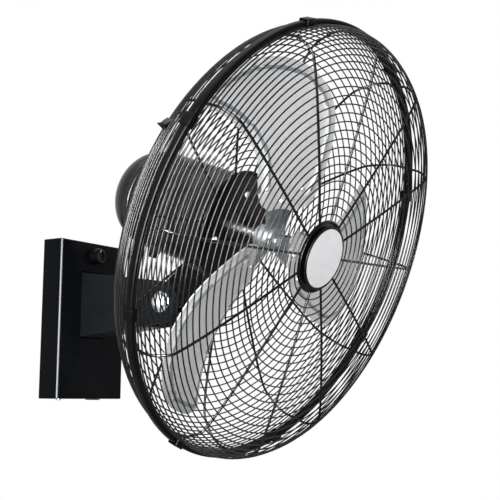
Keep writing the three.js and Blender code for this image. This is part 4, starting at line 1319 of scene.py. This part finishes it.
@dataclass
class Motor:
    """The drum with its domed rear cap and front cover."""

    radius: float = 70.0
    front: float = -92.0
    joint: float = -100.2
    back: float = -236.0
    gap: float = 0.3
    wall: float = 3.5
    end_wall: float = 4.0
    cap_radius: float = 68.0
    cap_depth: float = 53.0
    cap_wall: float = 3.0
    shaft: float = 6.0
    gland_at: float = -215.0
    sides: int = 96

    def build(self) -> None:
        """Make the housing, both ends and the lead's gland, and dress what is inside."""
        self._housing()
        self._front_cover()
        self._rear_cap()
        self._gland()
        repaint(LAMINATION, "stator", "rotor_core")
        repaint(GROUND_STEEL, "front_bearing", "rear_bearing")

    def _housing(self) -> None:
        """The drum with rolled ends, its foot and the plug in its side."""
        r, bore, lip = self.radius, self.radius - self.wall, self.joint - self.gap
        inner = self.back + self.end_wall
        profile = [
            (0.0, self.back), (r - 1.6, self.back), (r - 0.4, self.back + 0.5), (r, self.back + 1.6),
            (r, self.back + 6.0), (r - 0.7, self.back + 6.8), (r - 0.7, lip - 7.0), (r, lip - 6.2),
            (r, lip - 0.6), (r - 0.5, lip), (bore, lip), (bore, inner), (0.0, inner),
        ]
        sketch = Sketch().turn(profile, self.sides)
        foot_low, foot_high = -r - 2.0, -bore + 1.0
        sketch.block((-22.0, 102.0, foot_low), (22.0, 142.0, foot_high))
        plug = [(0.0, -2.0), (5.4, -2.0), (5.4, 0.6), (4.6, 1.4), (3.0, 1.8), (0.0, 1.9)]
        lean = math.radians(40.0)
        upright = Matrix.Translation((-r * math.sin(lean), 208.0, r * math.cos(lean)))
        sketch.add(Sketch().turn(plug, 24), upright @ Matrix.Rotation(-lean, 4, "Y") @ ALONG_Z_UP)
        drum = Piece("motor_drum", Body.HEAD, MOTOR_BLACK, ("motor_housing",), crease=28.0)
        drum.make(sketch, HEAD_FRAME)

    def _front_cover(self) -> None:
        """The cover in front of the drum, with a raised bearing boss."""
        r, back = self.radius, self.joint
        profile = [
            (self.shaft + 2.0, self.front - 5.0), (self.shaft + 2.0, self.front),
            (19.0, self.front), (20.5, self.front - 0.6), (24.0, self.front - 0.6), (25.5, self.front),
            (r - 8.0, self.front), (r - 3.0, self.front - 1.2), (r - 0.6, self.front - 3.2),
            (r, self.front - 4.6), (r, back + 0.5), (r - 0.5, back), (66.0, back), (66.0, self.front - 5.0),
        ]
        sketch = Sketch().turn(profile, self.sides, closed=True)
        cover = Piece("motor_end_cover", Body.HEAD, MOTOR_BLACK, ("motor_front_cover",), crease=28.0)
        cover.make(sketch, HEAD_FRAME)

    def _rear_cap(self) -> None:
        """The dome behind the drum, with a short straight collar."""
        base = self.back - self.gap
        outer = [(self.cap_radius, base)]
        inner = []
        steps = 26
        radius, depth = self.cap_radius - self.cap_wall, self.cap_depth - self.cap_wall
        for k in range(1, steps + 1):
            angle = math.pi / 2 * k / steps
            across = 0.0 if k == steps else math.cos(angle)
            outer.append((self.cap_radius * across, base - self.cap_depth * math.sin(angle)))
            inner.append((radius * across, base - depth * math.sin(angle)))
        profile = [*reversed(inner), (self.cap_radius - self.cap_wall, base), *outer]
        Piece("motor_dome", Body.HEAD, MOTOR_BLACK, ("motor_rear_cap",), crease=28.0).make(
            Sketch().turn(profile, self.sides), HEAD_FRAME
        )

    def _gland(self) -> None:
        """The ribbed grommet that the motor's lead leaves by."""
        bottom = self.radius + self.gap
        profile = [
            (3.0, bottom - 4.0), (5.0, bottom - 4.0), (5.0, bottom), (8.8, bottom), (9.0, bottom + 0.4),
            (9.0, bottom + 3.4), (8.0, bottom + 4.2), (7.2, bottom + 5.0), (7.4, bottom + 6.0),
            (6.6, bottom + 6.6), (6.9, bottom + 7.6), (6.2, bottom + 8.2), (6.5, bottom + 9.4),
            (5.8, bottom + 10.4), (4.6, bottom + 11.0), (3.0, bottom + 11.0),
        ]
        sketch = Sketch().turn(profile, 36, closed=True)
        spot = HEAD_FRAME @ Matrix.Translation((0.0, -self.gland_at, 0.0)) @ ALONG_Z
        grommet = Piece("motor_lead_grommet", Body.HEAD, BLACK_PLASTIC, ("motor_gland",), crease=30.0)
        grommet.make(sketch, spot)


# ---------------------------------------------------------------- guards


@dataclass
class WireGuard:
    """One half of the wire cage: close rings at the side, wider ones over the face, and spokes."""

    side: Side
    profile: tuple[tuple[float, float], ...]
    plate: tuple[tuple[float, float], ...]
    rim_radius: float = 285.0
    rim_forward: float = 2.35
    rim_wire: float = 4.4
    ring_wire: float = 1.8
    spoke_wire: float = 3.3
    spokes: int = 12
    spoke_turn: float = -2.3
    side_start: float = 6.0
    side_pitch: float = 5.7
    side_length: float = 30.0
    shoulder_length: float = 60.0
    face_pitch: float = 10.6
    spoke_inset: float = 1.8
    hook_turn: float = 289.6

    def _curve(self) -> list[tuple[float, float]]:
        """The guard's section as close points of (radius, forward), from the rim to the hub."""
        knots = [Vector(knot) for knot in ((self.rim_radius, self.rim_forward), *self.profile)]
        spans = [(b - a).length for a, b in zip(knots, knots[1:])]
        slopes = [(knots[1] - knots[0]) / spans[0]]
        slopes += [(knots[k + 1] - knots[k - 1]) / (spans[k - 1] + spans[k]) for k in range(1, len(spans))]
        slopes.append((knots[-1] - knots[-2]) / spans[-1])
        points = []
        for k, span in enumerate(spans):
            for n in range(24):
                t = n / 24
                bend = (
                    knots[k] * (2 * t**3 - 3 * t**2 + 1) + slopes[k] * span * (t**3 - 2 * t**2 + t)
                    + knots[k + 1] * (3 * t**2 - 2 * t**3) + slopes[k + 1] * span * (t**3 - t**2)
                )
                points.append(tuple(bend))
        points.append(tuple(knots[-1]))
        return points

    def _ring_places(self, curve: list[tuple[float, float]]) -> list[tuple[float, float]]:
        """Where each ring lies on the section.

        Args:
            curve: the guard's section.

        Returns:
            Each ring's radius and forward place, from the rim to the hub.
        """
        lengths = [0.0]
        for (r0, f0), (r1, f1) in zip(curve, curve[1:]):
            lengths.append(lengths[-1] + math.hypot(r1 - r0, f1 - f0))
        wanted = [self.side_start]
        while wanted[-1] < lengths[-1] - 0.6 * self.face_pitch:
            share = smooth_step((wanted[-1] - self.side_length) / self.shoulder_length)
            wanted.append(wanted[-1] + self.side_pitch + (self.face_pitch - self.side_pitch) * share)
        shoulder = self.side_length + self.shoulder_length
        stretch = (lengths[-1] - shoulder) / (wanted[-1] - shoulder)
        wanted = [w if w < shoulder else shoulder + (w - shoulder) * stretch for w in wanted]
        places = []
        for length in wanted:
            k = next((i for i in range(1, len(lengths)) if lengths[i] >= length - 1e-6), len(lengths) - 1)
            t = (length - lengths[k - 1]) / (lengths[k] - lengths[k - 1])
            places.append(tuple(curve[k - 1][i] + (curve[k][i] - curve[k - 1][i]) * t for i in (0, 1)))
        return places

    def _spoke_line(self, curve: list[tuple[float, float]], degrees: float) -> list[Vector]:
        """A spoke's middle line, just inside the rings.

        Args:
            curve: the guard's section.
            degrees: the spoke's angle.

        Returns:
            The points of its middle line.
        """
        line = []
        for k in range(0, len(curve), 3):
            (r0, f0), (r1, f1) = curve[max(k - 1, 0)], curve[min(k + 1, len(curve) - 1)]
            ahead = Vector((r1 - r0, f1 - f0)).normalized()
            inward = Vector((ahead.y, -ahead.x))
            middle = Vector((0.0, self.rim_forward * 0.5))
            point = Vector(curve[k])
            if (point + inward - middle).length > (point - middle).length:
                inward = -inward
            point += inward * self.spoke_inset
            line.append(place(point.x, degrees, point.y))
        return line

    @staticmethod
    def _hook() -> Sketch:
        """The small sheet hook welded to the rear guard's side, with its turned-out lip."""
        outline = [(-12.0, 274.0), (1.6, 274.0), (1.6, 287.6), (-0.2, 287.6), (-1.0, 284.6), (-12.0, 279.0)]
        return Sketch().add(Sketch().prism(outline, 30.0, 39.0), Matrix.Rotation(math.radians(90.0), 4, "Z"))

    def build(self) -> None:
        """Make the cage as one welded piece."""
        curve = self._curve()
        sketch = Sketch().wire_ring(self.rim_radius, self.rim_forward, self.rim_wire, 144)
        for radius, forward in self._ring_places(curve):
            sketch.wire_ring(radius, forward, self.ring_wire, 120 if radius > 120 else 72)
        for k in range(self.spokes):
            sketch.wire(self._spoke_line(curve, self.spoke_turn + 360 * k / self.spokes), self.spoke_wire)
        if self.side is Side.REAR:
            sketch.add(self._hook(), spun(self.hook_turn))
        closed = self.plate[0][0] > 0.0
        sketch.turn(self.plate, 72, closed=closed)
        node = f"{self.side.value}_guard"
        Piece(f"{node}_wires", Body.HEAD, WIRE_BLACK, (node,), crease=50.0).make(sketch, HEAD_FRAME)


@dataclass
class GuardScrews:
    """The three screws that hold the rear guard to the motor."""

    circle: float = 46.0
    forward: float = -89.4
    count: int = 3

    def build(self) -> None:
        """Make each screw with its cross recess."""
        for k in range(self.count):
            spot = HEAD_FRAME @ Matrix.Translation(place(self.circle, 360.0 * k / self.count, self.forward))
            piece = Piece(f"guard_screw_head_{k + 1}", Body.HEAD, ZINC_PLATE, (f"guard_screw_{k + 1}",))
            obj = piece.make(screw_sketch(2.2, 6.0, 4.5, 2.6), spot)
            carve(obj, cross_recess(2.4, 1.5, 2.6), spot)
            piece.dress(obj)


@dataclass
class RimBand:
    """The rounded band over both rims, and the sprung clips that hold it."""

    radius: float = 292.0
    thickness: float = 5.2
    half: float = 5.0
    clips: int = 8
    clip_turn: float = 22.0
    clip_width: float = 16.0
    clip_thickness: float = 1.6
    clip_leg: float = 10.0
    gap: float = 0.3

    def build(self) -> None:
        """Make the band and its clips."""
        middle = self.radius - self.thickness / 2
        ring = []
        for k in range(20):
            angle = math.tau * k / 20
            across, out = math.sin(angle), math.cos(angle)
            ring.append((
                middle + self.thickness / 2 * math.copysign(abs(out) ** 0.6, out),
                self.half * math.copysign(abs(across) ** 0.6, across),
            ))
        sketch = Sketch().turn(ring, 180, closed=True)
        Piece("rim_band_rolled", Body.HEAD, BAND_BLACK, ("rim_band",), crease=45.0).make(sketch, HEAD_FRAME)
        for k in range(self.clips):
            self._clip(k)

    def _clip(self, number: int) -> None:
        """One sprung clip over the band and both rim wires.

        Args:
            number: which clip it is, from 0.
        """
        inside, outside = self.half + self.gap, self.half + self.gap + self.clip_thickness
        foot, seat = self.radius - self.clip_leg, self.radius + self.gap
        top = seat + self.clip_thickness
        outline = [
            (-outside, foot), (-inside, foot), (-inside, seat), (inside, seat),
            (inside, foot), (outside, foot), (outside, top), (-outside, top),
        ]
        sketch = Sketch().prism(outline, -self.clip_width / 2, self.clip_width / 2)
        node = f"rim_clip_{number + 1}"
        turn = spun(self.clip_turn + 360.0 * number / self.clips)
        Piece(f"{node}_pressed", Body.HEAD, BAND_BLACK, (node,), bevel=0.9).make(sketch, HEAD_FRAME @ turn)


@dataclass
class Badge:
    """The black dish in the middle of the front guard, and the bare disc in it."""

    radius: float = 42.2
    front: float = 57.0
    back: float = 50.2
    disc: float = 38.7
    recess: float = 1.8
    gap: float = 0.3

    def build(self) -> None:
        """Make the dish and its disc."""
        lip = self.disc + self.gap
        floor = self.front - self.recess
        profile = [
            (0.0, self.back), (self.radius - 10.5, self.back), (self.radius - 9.5, self.back + 0.4),
            (self.radius - 1.2, self.front - 2.4), (self.radius - 0.2, self.front - 1.8),
            (self.radius, self.front - 1.2), (self.radius - 0.5, self.front - 0.4),
            (self.radius - 1.2, self.front - 0.1), (self.radius - 1.6, self.front), (lip + 0.4, self.front),
            (lip, self.front - 0.4), (lip, floor), (0.0, floor),
        ]
        Piece("badge_ring", Body.HEAD, BLACK_PLASTIC, ("badge_dish",), crease=30.0).make(
            Sketch().turn(profile, 120), HEAD_FRAME
        )
        back = floor + self.gap
        face = [
            (0.0, back), (self.disc - 0.2, back), (self.disc, back + 0.2), (self.disc, self.front - 0.5),
            (self.disc - 0.5, self.front - 0.1), (self.disc * 0.8, self.front + 0.2),
            (self.disc * 0.5, self.front + 0.5), (self.disc * 0.25, self.front + 0.7),
            (0.0, self.front + 0.8),
        ]
        Piece("badge_disc_face", Body.HEAD, DISC_SILVER, ("badge_disc",), crease=30.0).make(
            Sketch().turn(face, 120), HEAD_FRAME
        )


# ---------------------------------------------------------------- impeller


@dataclass
class Impeller:
    """Three pressed blades riveted to a cast hub on the motor's shaft."""

    count: int = 3
    turn: float = 329.5
    middle: float = -27.6
    thickness: float = 1.5
    root: float = 44.0
    tip: float = 254.0
    pitch_root: float = 20.0
    pitch_tip: float = 11.4
    forward_edge: tuple[tuple[float, float], ...] = (
        (44, 38), (60, 52), (90, 50), (120, 44), (180, 34), (212, 25), (234, 14), (248, 1), (254, -8),
    )
    trailing_edge: tuple[tuple[float, float], ...] = (
        (44, -8), (58, -16), (90, -12), (120, -9), (180, -16), (240, -26), (249, -25), (254, -20),
    )
    rib_inset: float = 13.0
    rib_half: float = 3.2
    rib_height: float = 2.7
    rib_flank: float = 2.4
    rib_start: float = 78.0
    border_drop: float = 2.4
    arm_turn: float = 15.0
    arm_thickness: float = 2.5
    arm_tip: float = 90.0
    hub_radius: float = 16.0
    hub_front: float = -22.0
    hub_back: float = -50.0
    gap: float = 0.3
    rivets: tuple[tuple[float, float], ...] = ((54.0, 0.0), (76.0, -20.0), (76.0, 20.0))

    def _pitch(self, radius: float) -> float:
        """The blade's pitch at a radius, in degrees.

        Args:
            radius: the radius that is asked for.

        Returns:
            The pitch there.
        """
        share = (radius - self.root) / (self.tip - self.root)
        return self.pitch_root + (self.pitch_tip - self.pitch_root) * share

    def _foot(self, radius: float, degrees: float) -> Vector:
        """A point of the blade's middle surface.

        Args:
            radius: the point's radius.
            degrees: its angle in the blade's own frame.

        Returns:
            The point.
        """
        slope = math.tan(math.radians(self._pitch(radius)))
        return place(radius, degrees, self.middle + radius * slope * math.radians(degrees))

    def _normal(self, radius: float, degrees: float) -> Vector:
        """The forward normal of the blade's middle surface.

        Args:
            radius: the point's radius.
            degrees: its angle in the blade's own frame.

        Returns:
            The normal, of length 1.
        """
        across = self._foot(radius, degrees + 0.5) - self._foot(radius, degrees - 0.5)
        outwards = self._foot(radius + 0.5, degrees) - self._foot(radius - 0.5, degrees)
        return across.cross(outwards).normalized()

    def _outline(self) -> np.ndarray:
        """The blade's rim without its root, as flat points."""
        radii = np.linspace(58.0, self.tip, 70)
        points = []
        for radius in radii:
            angle = math.radians(smooth_between(self.forward_edge, float(radius)))
            points.append((radius * math.sin(angle), radius * math.cos(angle)))
        low, high = self.trailing_edge[-1][1], self.forward_edge[-1][1]
        for degrees in np.linspace(high, low, 16):
            angle = math.radians(float(degrees))
            points.append((self.tip * math.sin(angle), self.tip * math.cos(angle)))
        for radius in reversed(radii):
            angle = math.radians(smooth_between(self.trailing_edge, float(radius)))
            points.append((radius * math.sin(angle), radius * math.cos(angle)))
        return np.array(points)

    def _emboss(self, radius: float, degrees: float, outline: np.ndarray) -> float:
        """How far the pressing raises the sheet here: a rib along the outline, and a turned border.

        Args:
            radius: the point's radius.
            degrees: its angle.
            outline: the blade's rim, as flat points.

        Returns:
            The rise along the normal.
        """
        angle = math.radians(degrees)
        point = np.array((radius * math.sin(angle), radius * math.cos(angle)))
        distance = float(np.sqrt(((outline - point) ** 2).sum(1)).min())
        fade = smooth_step((radius - 62.0) / 16.0)
        rib = self.rib_height * math.exp(-(((distance - self.rib_inset) / self.rib_half) ** 2))
        border = -self.border_drop * smooth_step((self.rib_inset - distance) / self.rib_inset)
        return (rib + border) * fade

    def _sheet(
        self,
        radii: Sequence[float],
        low_edge: Callable[[float], float],
        high_edge: Callable[[float], float],
        columns: int,
        raises: tuple[float, float],
        emboss: Callable[[float, float], float] | None = None,
    ) -> Sketch:
        """A thin sheet on the blade's surface.

        Args:
            radii: the radius of each row.
            low_edge: degrees of the sheet's one edge at a radius.
            high_edge: degrees of its other edge.
            columns: how many steps lie between the edges.
            raises: the back and front faces' places along the normal.
            emboss: what to add to both faces, from a radius and degrees.

        Returns:
            The closed sheet.
        """
        sketch = Sketch()
        rows, wide = len(radii), columns + 1
        points = []
        for radius in radii:
            low, high = low_edge(radius), high_edge(radius)
            for column in range(wide):
                degrees = low + (high - low) * column / columns
                extra = emboss(radius, degrees) if emboss else 0.0
                points.append((self._foot(radius, degrees), self._normal(radius, degrees), extra))
        for layer in raises:
            sketch.verts.extend(foot + normal * (layer + extra) for foot, normal, extra in points)
        top = rows * wide

        def corner(row: int, column: int, layer: int) -> int:
            """The index of one grid corner."""
            return layer * top + row * wide + column

        for row in range(rows - 1):
            for column in range(columns):
                for layer in (0, 1):
                    sketch.faces.append((
                        corner(row, column, layer), corner(row, column + 1, layer),
                        corner(row + 1, column + 1, layer), corner(row + 1, column, layer),
                    ))
        border = [(0, c) for c in range(wide)] + [(r, columns) for r in range(1, rows)]
        border += [(rows - 1, c) for c in range(columns - 1, -1, -1)]
        border += [(r, 0) for r in range(rows - 2, 0, -1)]
        for (r0, c0), (r1, c1) in zip(border, border[1:] + border[:1]):
            sketch.faces.append((corner(r0, c0, 0), corner(r1, c1, 0), corner(r1, c1, 1), corner(r0, c0, 1)))
        return sketch

    def build(self) -> None:
        """Make the blades, the hub and the rivets, and dress the shaft."""
        blade = self._blade()
        hub = self._hub()
        for k in range(self.count):
            turn = HEAD_FRAME @ spun(self.turn + 360.0 * k / self.count)
            node = (f"blade_{k + 1}",)
            sheet = Piece(f"blade_sheet_{k + 1}", Body.IMPELLER, BLADE_METAL, node, crease=40.0)
            self._paint_rib_shade(sheet.make(blade, turn), turn)
            for number, rivet in enumerate(self.rivets, start=1):
                node = f"blade_rivet_{k + 1}_{number}"
                Piece(f"{node}_dome", Body.IMPELLER, ZINC_PLATE, (node,)).make(self._rivet(rivet), turn)
        casting = Piece("blade_hub_casting", Body.IMPELLER, CAST_METAL, ("blade_hub",), crease=35.0)
        casting.make(hub, HEAD_FRAME)
        repaint(GROUND_STEEL, "motor_shaft", "hub_screw")

    def _blade(self) -> Sketch:
        """One blade with its pressed rib."""
        outline = self._outline()
        radii = [float(r) for r in np.linspace(self.root, 236.0, 62)]
        radii += [236.0 + (self.tip - 236.0) * math.sin(math.pi / 2 * k / 14) for k in range(1, 15)]
        half = self.thickness / 2
        return self._sheet(
            radii,
            lambda radius: smooth_between(self.trailing_edge, radius),
            lambda radius: smooth_between(self.forward_edge, radius),
            56,
            (-half, half),
            lambda radius, degrees: self._emboss(radius, degrees, outline),
        )

    def _paint_rib_shade(self, obj: bpy.types.Object, turn: Matrix) -> None:
        """Paint shade on the pressed rib: a darker, bluish grey band along its flanks.

        Args:
            obj: the blade's sheet.
            turn: from the blade's own frame to the room, in millimetres.
        """
        mesh = obj.data
        mesh.materials.append(RIB_PAINTED_SHADE.material())
        outline, back = self._outline(), turn.inverted()
        for polygon in mesh.polygons:
            middle = back @ (polygon.center / MM)
            distance = float(np.hypot(*(outline - (middle.x, middle.z)).T).min())
            on_rib = abs(distance - self.rib_inset) < self.rib_flank and middle.xz.length > self.rib_start
            polygon.material_index = 1 if on_rib else 0

    def _hub(self) -> Sketch:
        """The boss with its three arms."""
        back = -self.thickness / 2 - self.gap - self.arm_thickness
        spread = (
            (10.0, 55.0), (20.0, 42.0), (30.0, 30.0), (54.0, 23.0), (64.0, 28.0), (80.0, 29.0), (90.0, 20.0),
        )
        radii = [float(r) for r in np.linspace(10.0, self.arm_tip, 34)]
        arm = self._sheet(
            radii,
            lambda radius: self.arm_turn - smooth_between(spread, radius),
            lambda radius: self.arm_turn + smooth_between(spread, radius),
            20,
            (back, back + self.arm_thickness),
        )
        r = self.hub_radius
        bore = 6.3
        profile = [
            (bore, self.hub_back), (r - 1.0, self.hub_back), (r, self.hub_back + 1.0),
            (r, self.hub_front - 2.5), (r - 0.7, self.hub_front - 1.0), (r - 2.5, self.hub_front),
            (bore + 0.8, self.hub_front), (bore, self.hub_front - 0.8),
        ]
        sketch = Sketch().turn(profile, 60, closed=True)
        for k in range(self.count):
            sketch.add(arm, spun(self.turn + 360.0 * k / self.count))
        return sketch

    def _rivet(self, spot: tuple[float, float]) -> Sketch:
        """One domed rivet, upright on the blade.

        Args:
            spot: the rivet's radius, and its angle from the arm's middle.

        Returns:
            The rivet as a sketch.
        """
        radius, degrees = spot[0], self.arm_turn + spot[1]
        normal = self._normal(radius, degrees)
        turn = Vector((0.0, -1.0, 0.0)).rotation_difference(normal).to_matrix().to_4x4()
        seat = self.thickness / 2 + self.gap
        tail = -self.thickness / 2 - 2 * self.gap - self.arm_thickness
        profile = [(0.0, tail - 1.6), (2.8, tail - 1.4), (3.4, tail), (2.2, tail), (2.2, seat), (4.0, seat)]
        profile += dome(3.9, 2.0, seat + 0.15, 5)
        sketch = Sketch().turn(profile, 24)
        return Sketch().add(sketch, Matrix.Translation(self._foot(radius, degrees)) @ turn)


# ---------------------------------------------------------------- studio


@dataclass
class Studio:
    """The plain room: a pale floor, soft lamps and the camera at the photograph's view."""

    eye: tuple[float, float, float] = (-1.13226, -1.08075, -0.10478)
    azimuth: float = -55.88
    elevation: float = -7.9
    roll: float = 0.56
    lens: float = 74.67
    floor_z: float = -1.3
    floor_size: float = 9.0
    glint_spot: tuple[float, float, float] = (-0.85, -0.62, 0.08)
    glint_aim: tuple[float, float, float] = (-0.2, -0.42, 0.14)
    glint_size: tuple[float, float] = (0.22, 0.9)
    glint_watts: float = 160.0

    def build(self) -> None:
        """Set up the view, the world, the lamps and the floor."""
        scene = bpy.context.scene
        scene.view_settings.view_transform = "Standard"
        self._camera(scene)
        self._world(scene)
        self._lamps()
        self._floor()

    def _camera(self, scene: bpy.types.Scene) -> None:
        """Place the camera by its direction and roll.

        Args:
            scene: the scene that looks through it.
        """
        a, e, roll = (math.radians(v) for v in (self.azimuth, self.elevation, self.roll))
        back = Vector((math.sin(a) * math.cos(e), -math.cos(a) * math.cos(e), math.sin(e)))
        right = Vector((math.cos(a), math.sin(a), 0.0))
        up = back.cross(right)
        rolled_right = right * math.cos(roll) + up * math.sin(roll)
        rolled_up = up * math.cos(roll) - right * math.sin(roll)
        matrix = Matrix((rolled_right, rolled_up, back)).transposed().to_4x4()
        matrix.translation = Vector(self.eye)
        lens = bpy.data.cameras.new("view")
        lens.lens = self.lens
        lens.sensor_width = 36.0
        lens.sensor_fit = "HORIZONTAL"
        camera = bpy.data.objects.new("view", lens)
        camera.matrix_world = matrix
        scene.collection.objects.link(camera)
        scene.camera = camera

    @staticmethod
    def _world(scene: bpy.types.Scene) -> None:
        """White where the camera or a reflection looks, and a soft grey light on surfaces.

        Args:
            scene: the scene that is lit.
        """
        world = bpy.data.worlds.new("room")
        world.use_nodes = True
        scene.world = world
        tree = world.node_tree
        tree.nodes.clear()
        path = tree.nodes.new("ShaderNodeLightPath")
        seen = tree.nodes.new("ShaderNodeMath")
        seen.operation = "MAXIMUM"
        tree.links.new(path.outputs["Is Camera Ray"], seen.inputs[0])
        tree.links.new(path.outputs["Is Glossy Ray"], seen.inputs[1])
        also = tree.nodes.new("ShaderNodeMath")
        also.operation = "MAXIMUM"
        tree.links.new(seen.outputs["Value"], also.inputs[0])
        tree.links.new(path.outputs["Is Transmission Ray"], also.inputs[1])
        strength = tree.nodes.new("ShaderNodeMapRange")
        strength.inputs["To Min"].default_value = 0.32
        strength.inputs["To Max"].default_value = 1.0
        tree.links.new(also.outputs["Value"], strength.inputs["Value"])
        light = tree.nodes.new("ShaderNodeBackground")
        light.inputs["Color"].default_value = (1.0, 1.0, 1.0, 1.0)
        tree.links.new(strength.outputs["Result"], light.inputs["Strength"])
        out = tree.nodes.new("ShaderNodeOutputWorld")
        tree.links.new(light.outputs["Background"], out.inputs["Surface"])

    @staticmethod
    def _lamp(
        name: str, spot: Vector, aim: Vector, size: tuple[float, float], watts: float
    ) -> bpy.types.Object:
        """Add a soft rectangular lamp.

        Args:
            name: the lamp's name.
            spot: where it hangs, in metres.
            aim: what it points at.
            size: its width and height.
            watts: its power.

        Returns:
            The lamp.
        """
        data = bpy.data.lights.new(name, "AREA")
        data.shape = "RECTANGLE"
        data.size, data.size_y = size
        data.energy = watts
        lamp = bpy.data.objects.new(name, data)
        lamp.location = spot
        lamp.rotation_euler = (aim - spot).to_track_quat("-Z", "Y").to_euler()
        bpy.context.scene.collection.objects.link(lamp)
        return lamp

    def _lamps(self) -> None:
        """A tall key lamp at the left, a broad one overhead, a weak one at the right, and the glint."""
        target = Vector((0.0, -0.3, 0.08))
        self._lamp("key", Vector((-2.7, -1.1, 0.15)), target, (0.8, 2.0), 74.0)
        self._lamp("top", Vector((-0.3, 0.0, 2.3)), target, (1.6, 1.6), 20.0)
        self._lamp("fill", Vector((1.9, -2.0, 0.4)), target, (1.2, 1.2), 2.0)
        self._glint()

    def _glint(self) -> None:
        """A strip lamp close at the left, which every surface shows in its reflections only."""
        spot, aim = Vector(self.glint_spot), Vector(self.glint_aim)
        lamp = self._lamp("glint", spot, aim, self.glint_size, self.glint_watts)
        lamp.visible_camera = False
        lamp.visible_diffuse = False

    def _floor(self) -> None:
        """A pale floor that shows white to the camera and takes the object's shadow."""
        half = self.floor_size / 2
        mesh = bpy.data.meshes.new("floor")
        corners = [(-half, -half, self.floor_z), (half, -half, self.floor_z), (half, half, self.floor_z)]
        mesh.from_pydata([*corners, (-half, half, self.floor_z)], [], [(0, 1, 2, 3)])
        floor = bpy.data.objects.new("floor", mesh)
        bpy.context.scene.collection.objects.link(floor)
        material = bpy.data.materials.new("pale_floor")
        material.use_nodes = True
        shader = material.node_tree.nodes["Principled BSDF"]
        shader.inputs["Base Color"].default_value = (0.86, 0.86, 0.86, 1.0)
        shader.inputs["Roughness"].default_value = 0.8
        mesh.materials.append(material)


# ---------------------------------------------------------------- the whole fan


def front_guard() -> WireGuard:
    """The front half of the cage."""
    return WireGuard(
        side=Side.FRONT,
        profile=((285.5, 20.0), (278.5, 34.0), (264.0, 45.5), (155.0, 51.0), (46.0, 51.0)),
        plate=((0.0, 48.1), (47.6, 48.1), (48.3, 48.6), (48.3, 49.4), (47.6, 49.9), (0.0, 49.9)),
    )


def rear_guard() -> WireGuard:
    """The rear half of the cage, screwed to the motor."""
    return WireGuard(
        side=Side.REAR,
        profile=((284.5, -18.0), (276.0, -36.0), (252.0, -57.0), (160.0, -77.0), (76.0, -88.6)),
        plate=((20.0, -91.7), (77.4, -91.7), (78.0, -91.2), (78.0, -90.2), (77.4, -89.7), (20.0, -89.7)),
        rim_forward=-2.35,
        side_start=4.4,
        side_pitch=4.5,
        side_length=24.0,
        face_pitch=10.7,
    )


def main() -> None:
    """Build every sub-assembly in order."""
    Studio().build()
    for part in (
        WallBox(), SpeedControl(), ArmBracket(), PivotHardware(), TiltYoke(), Motor(), rear_guard(),
        GuardScrews(), RimBand(), front_guard(), Badge(), Impeller(),
    ):
        LOG.info("building %s", type(part).__name__)
        part.build()


if __name__ == "__main__":
    main()
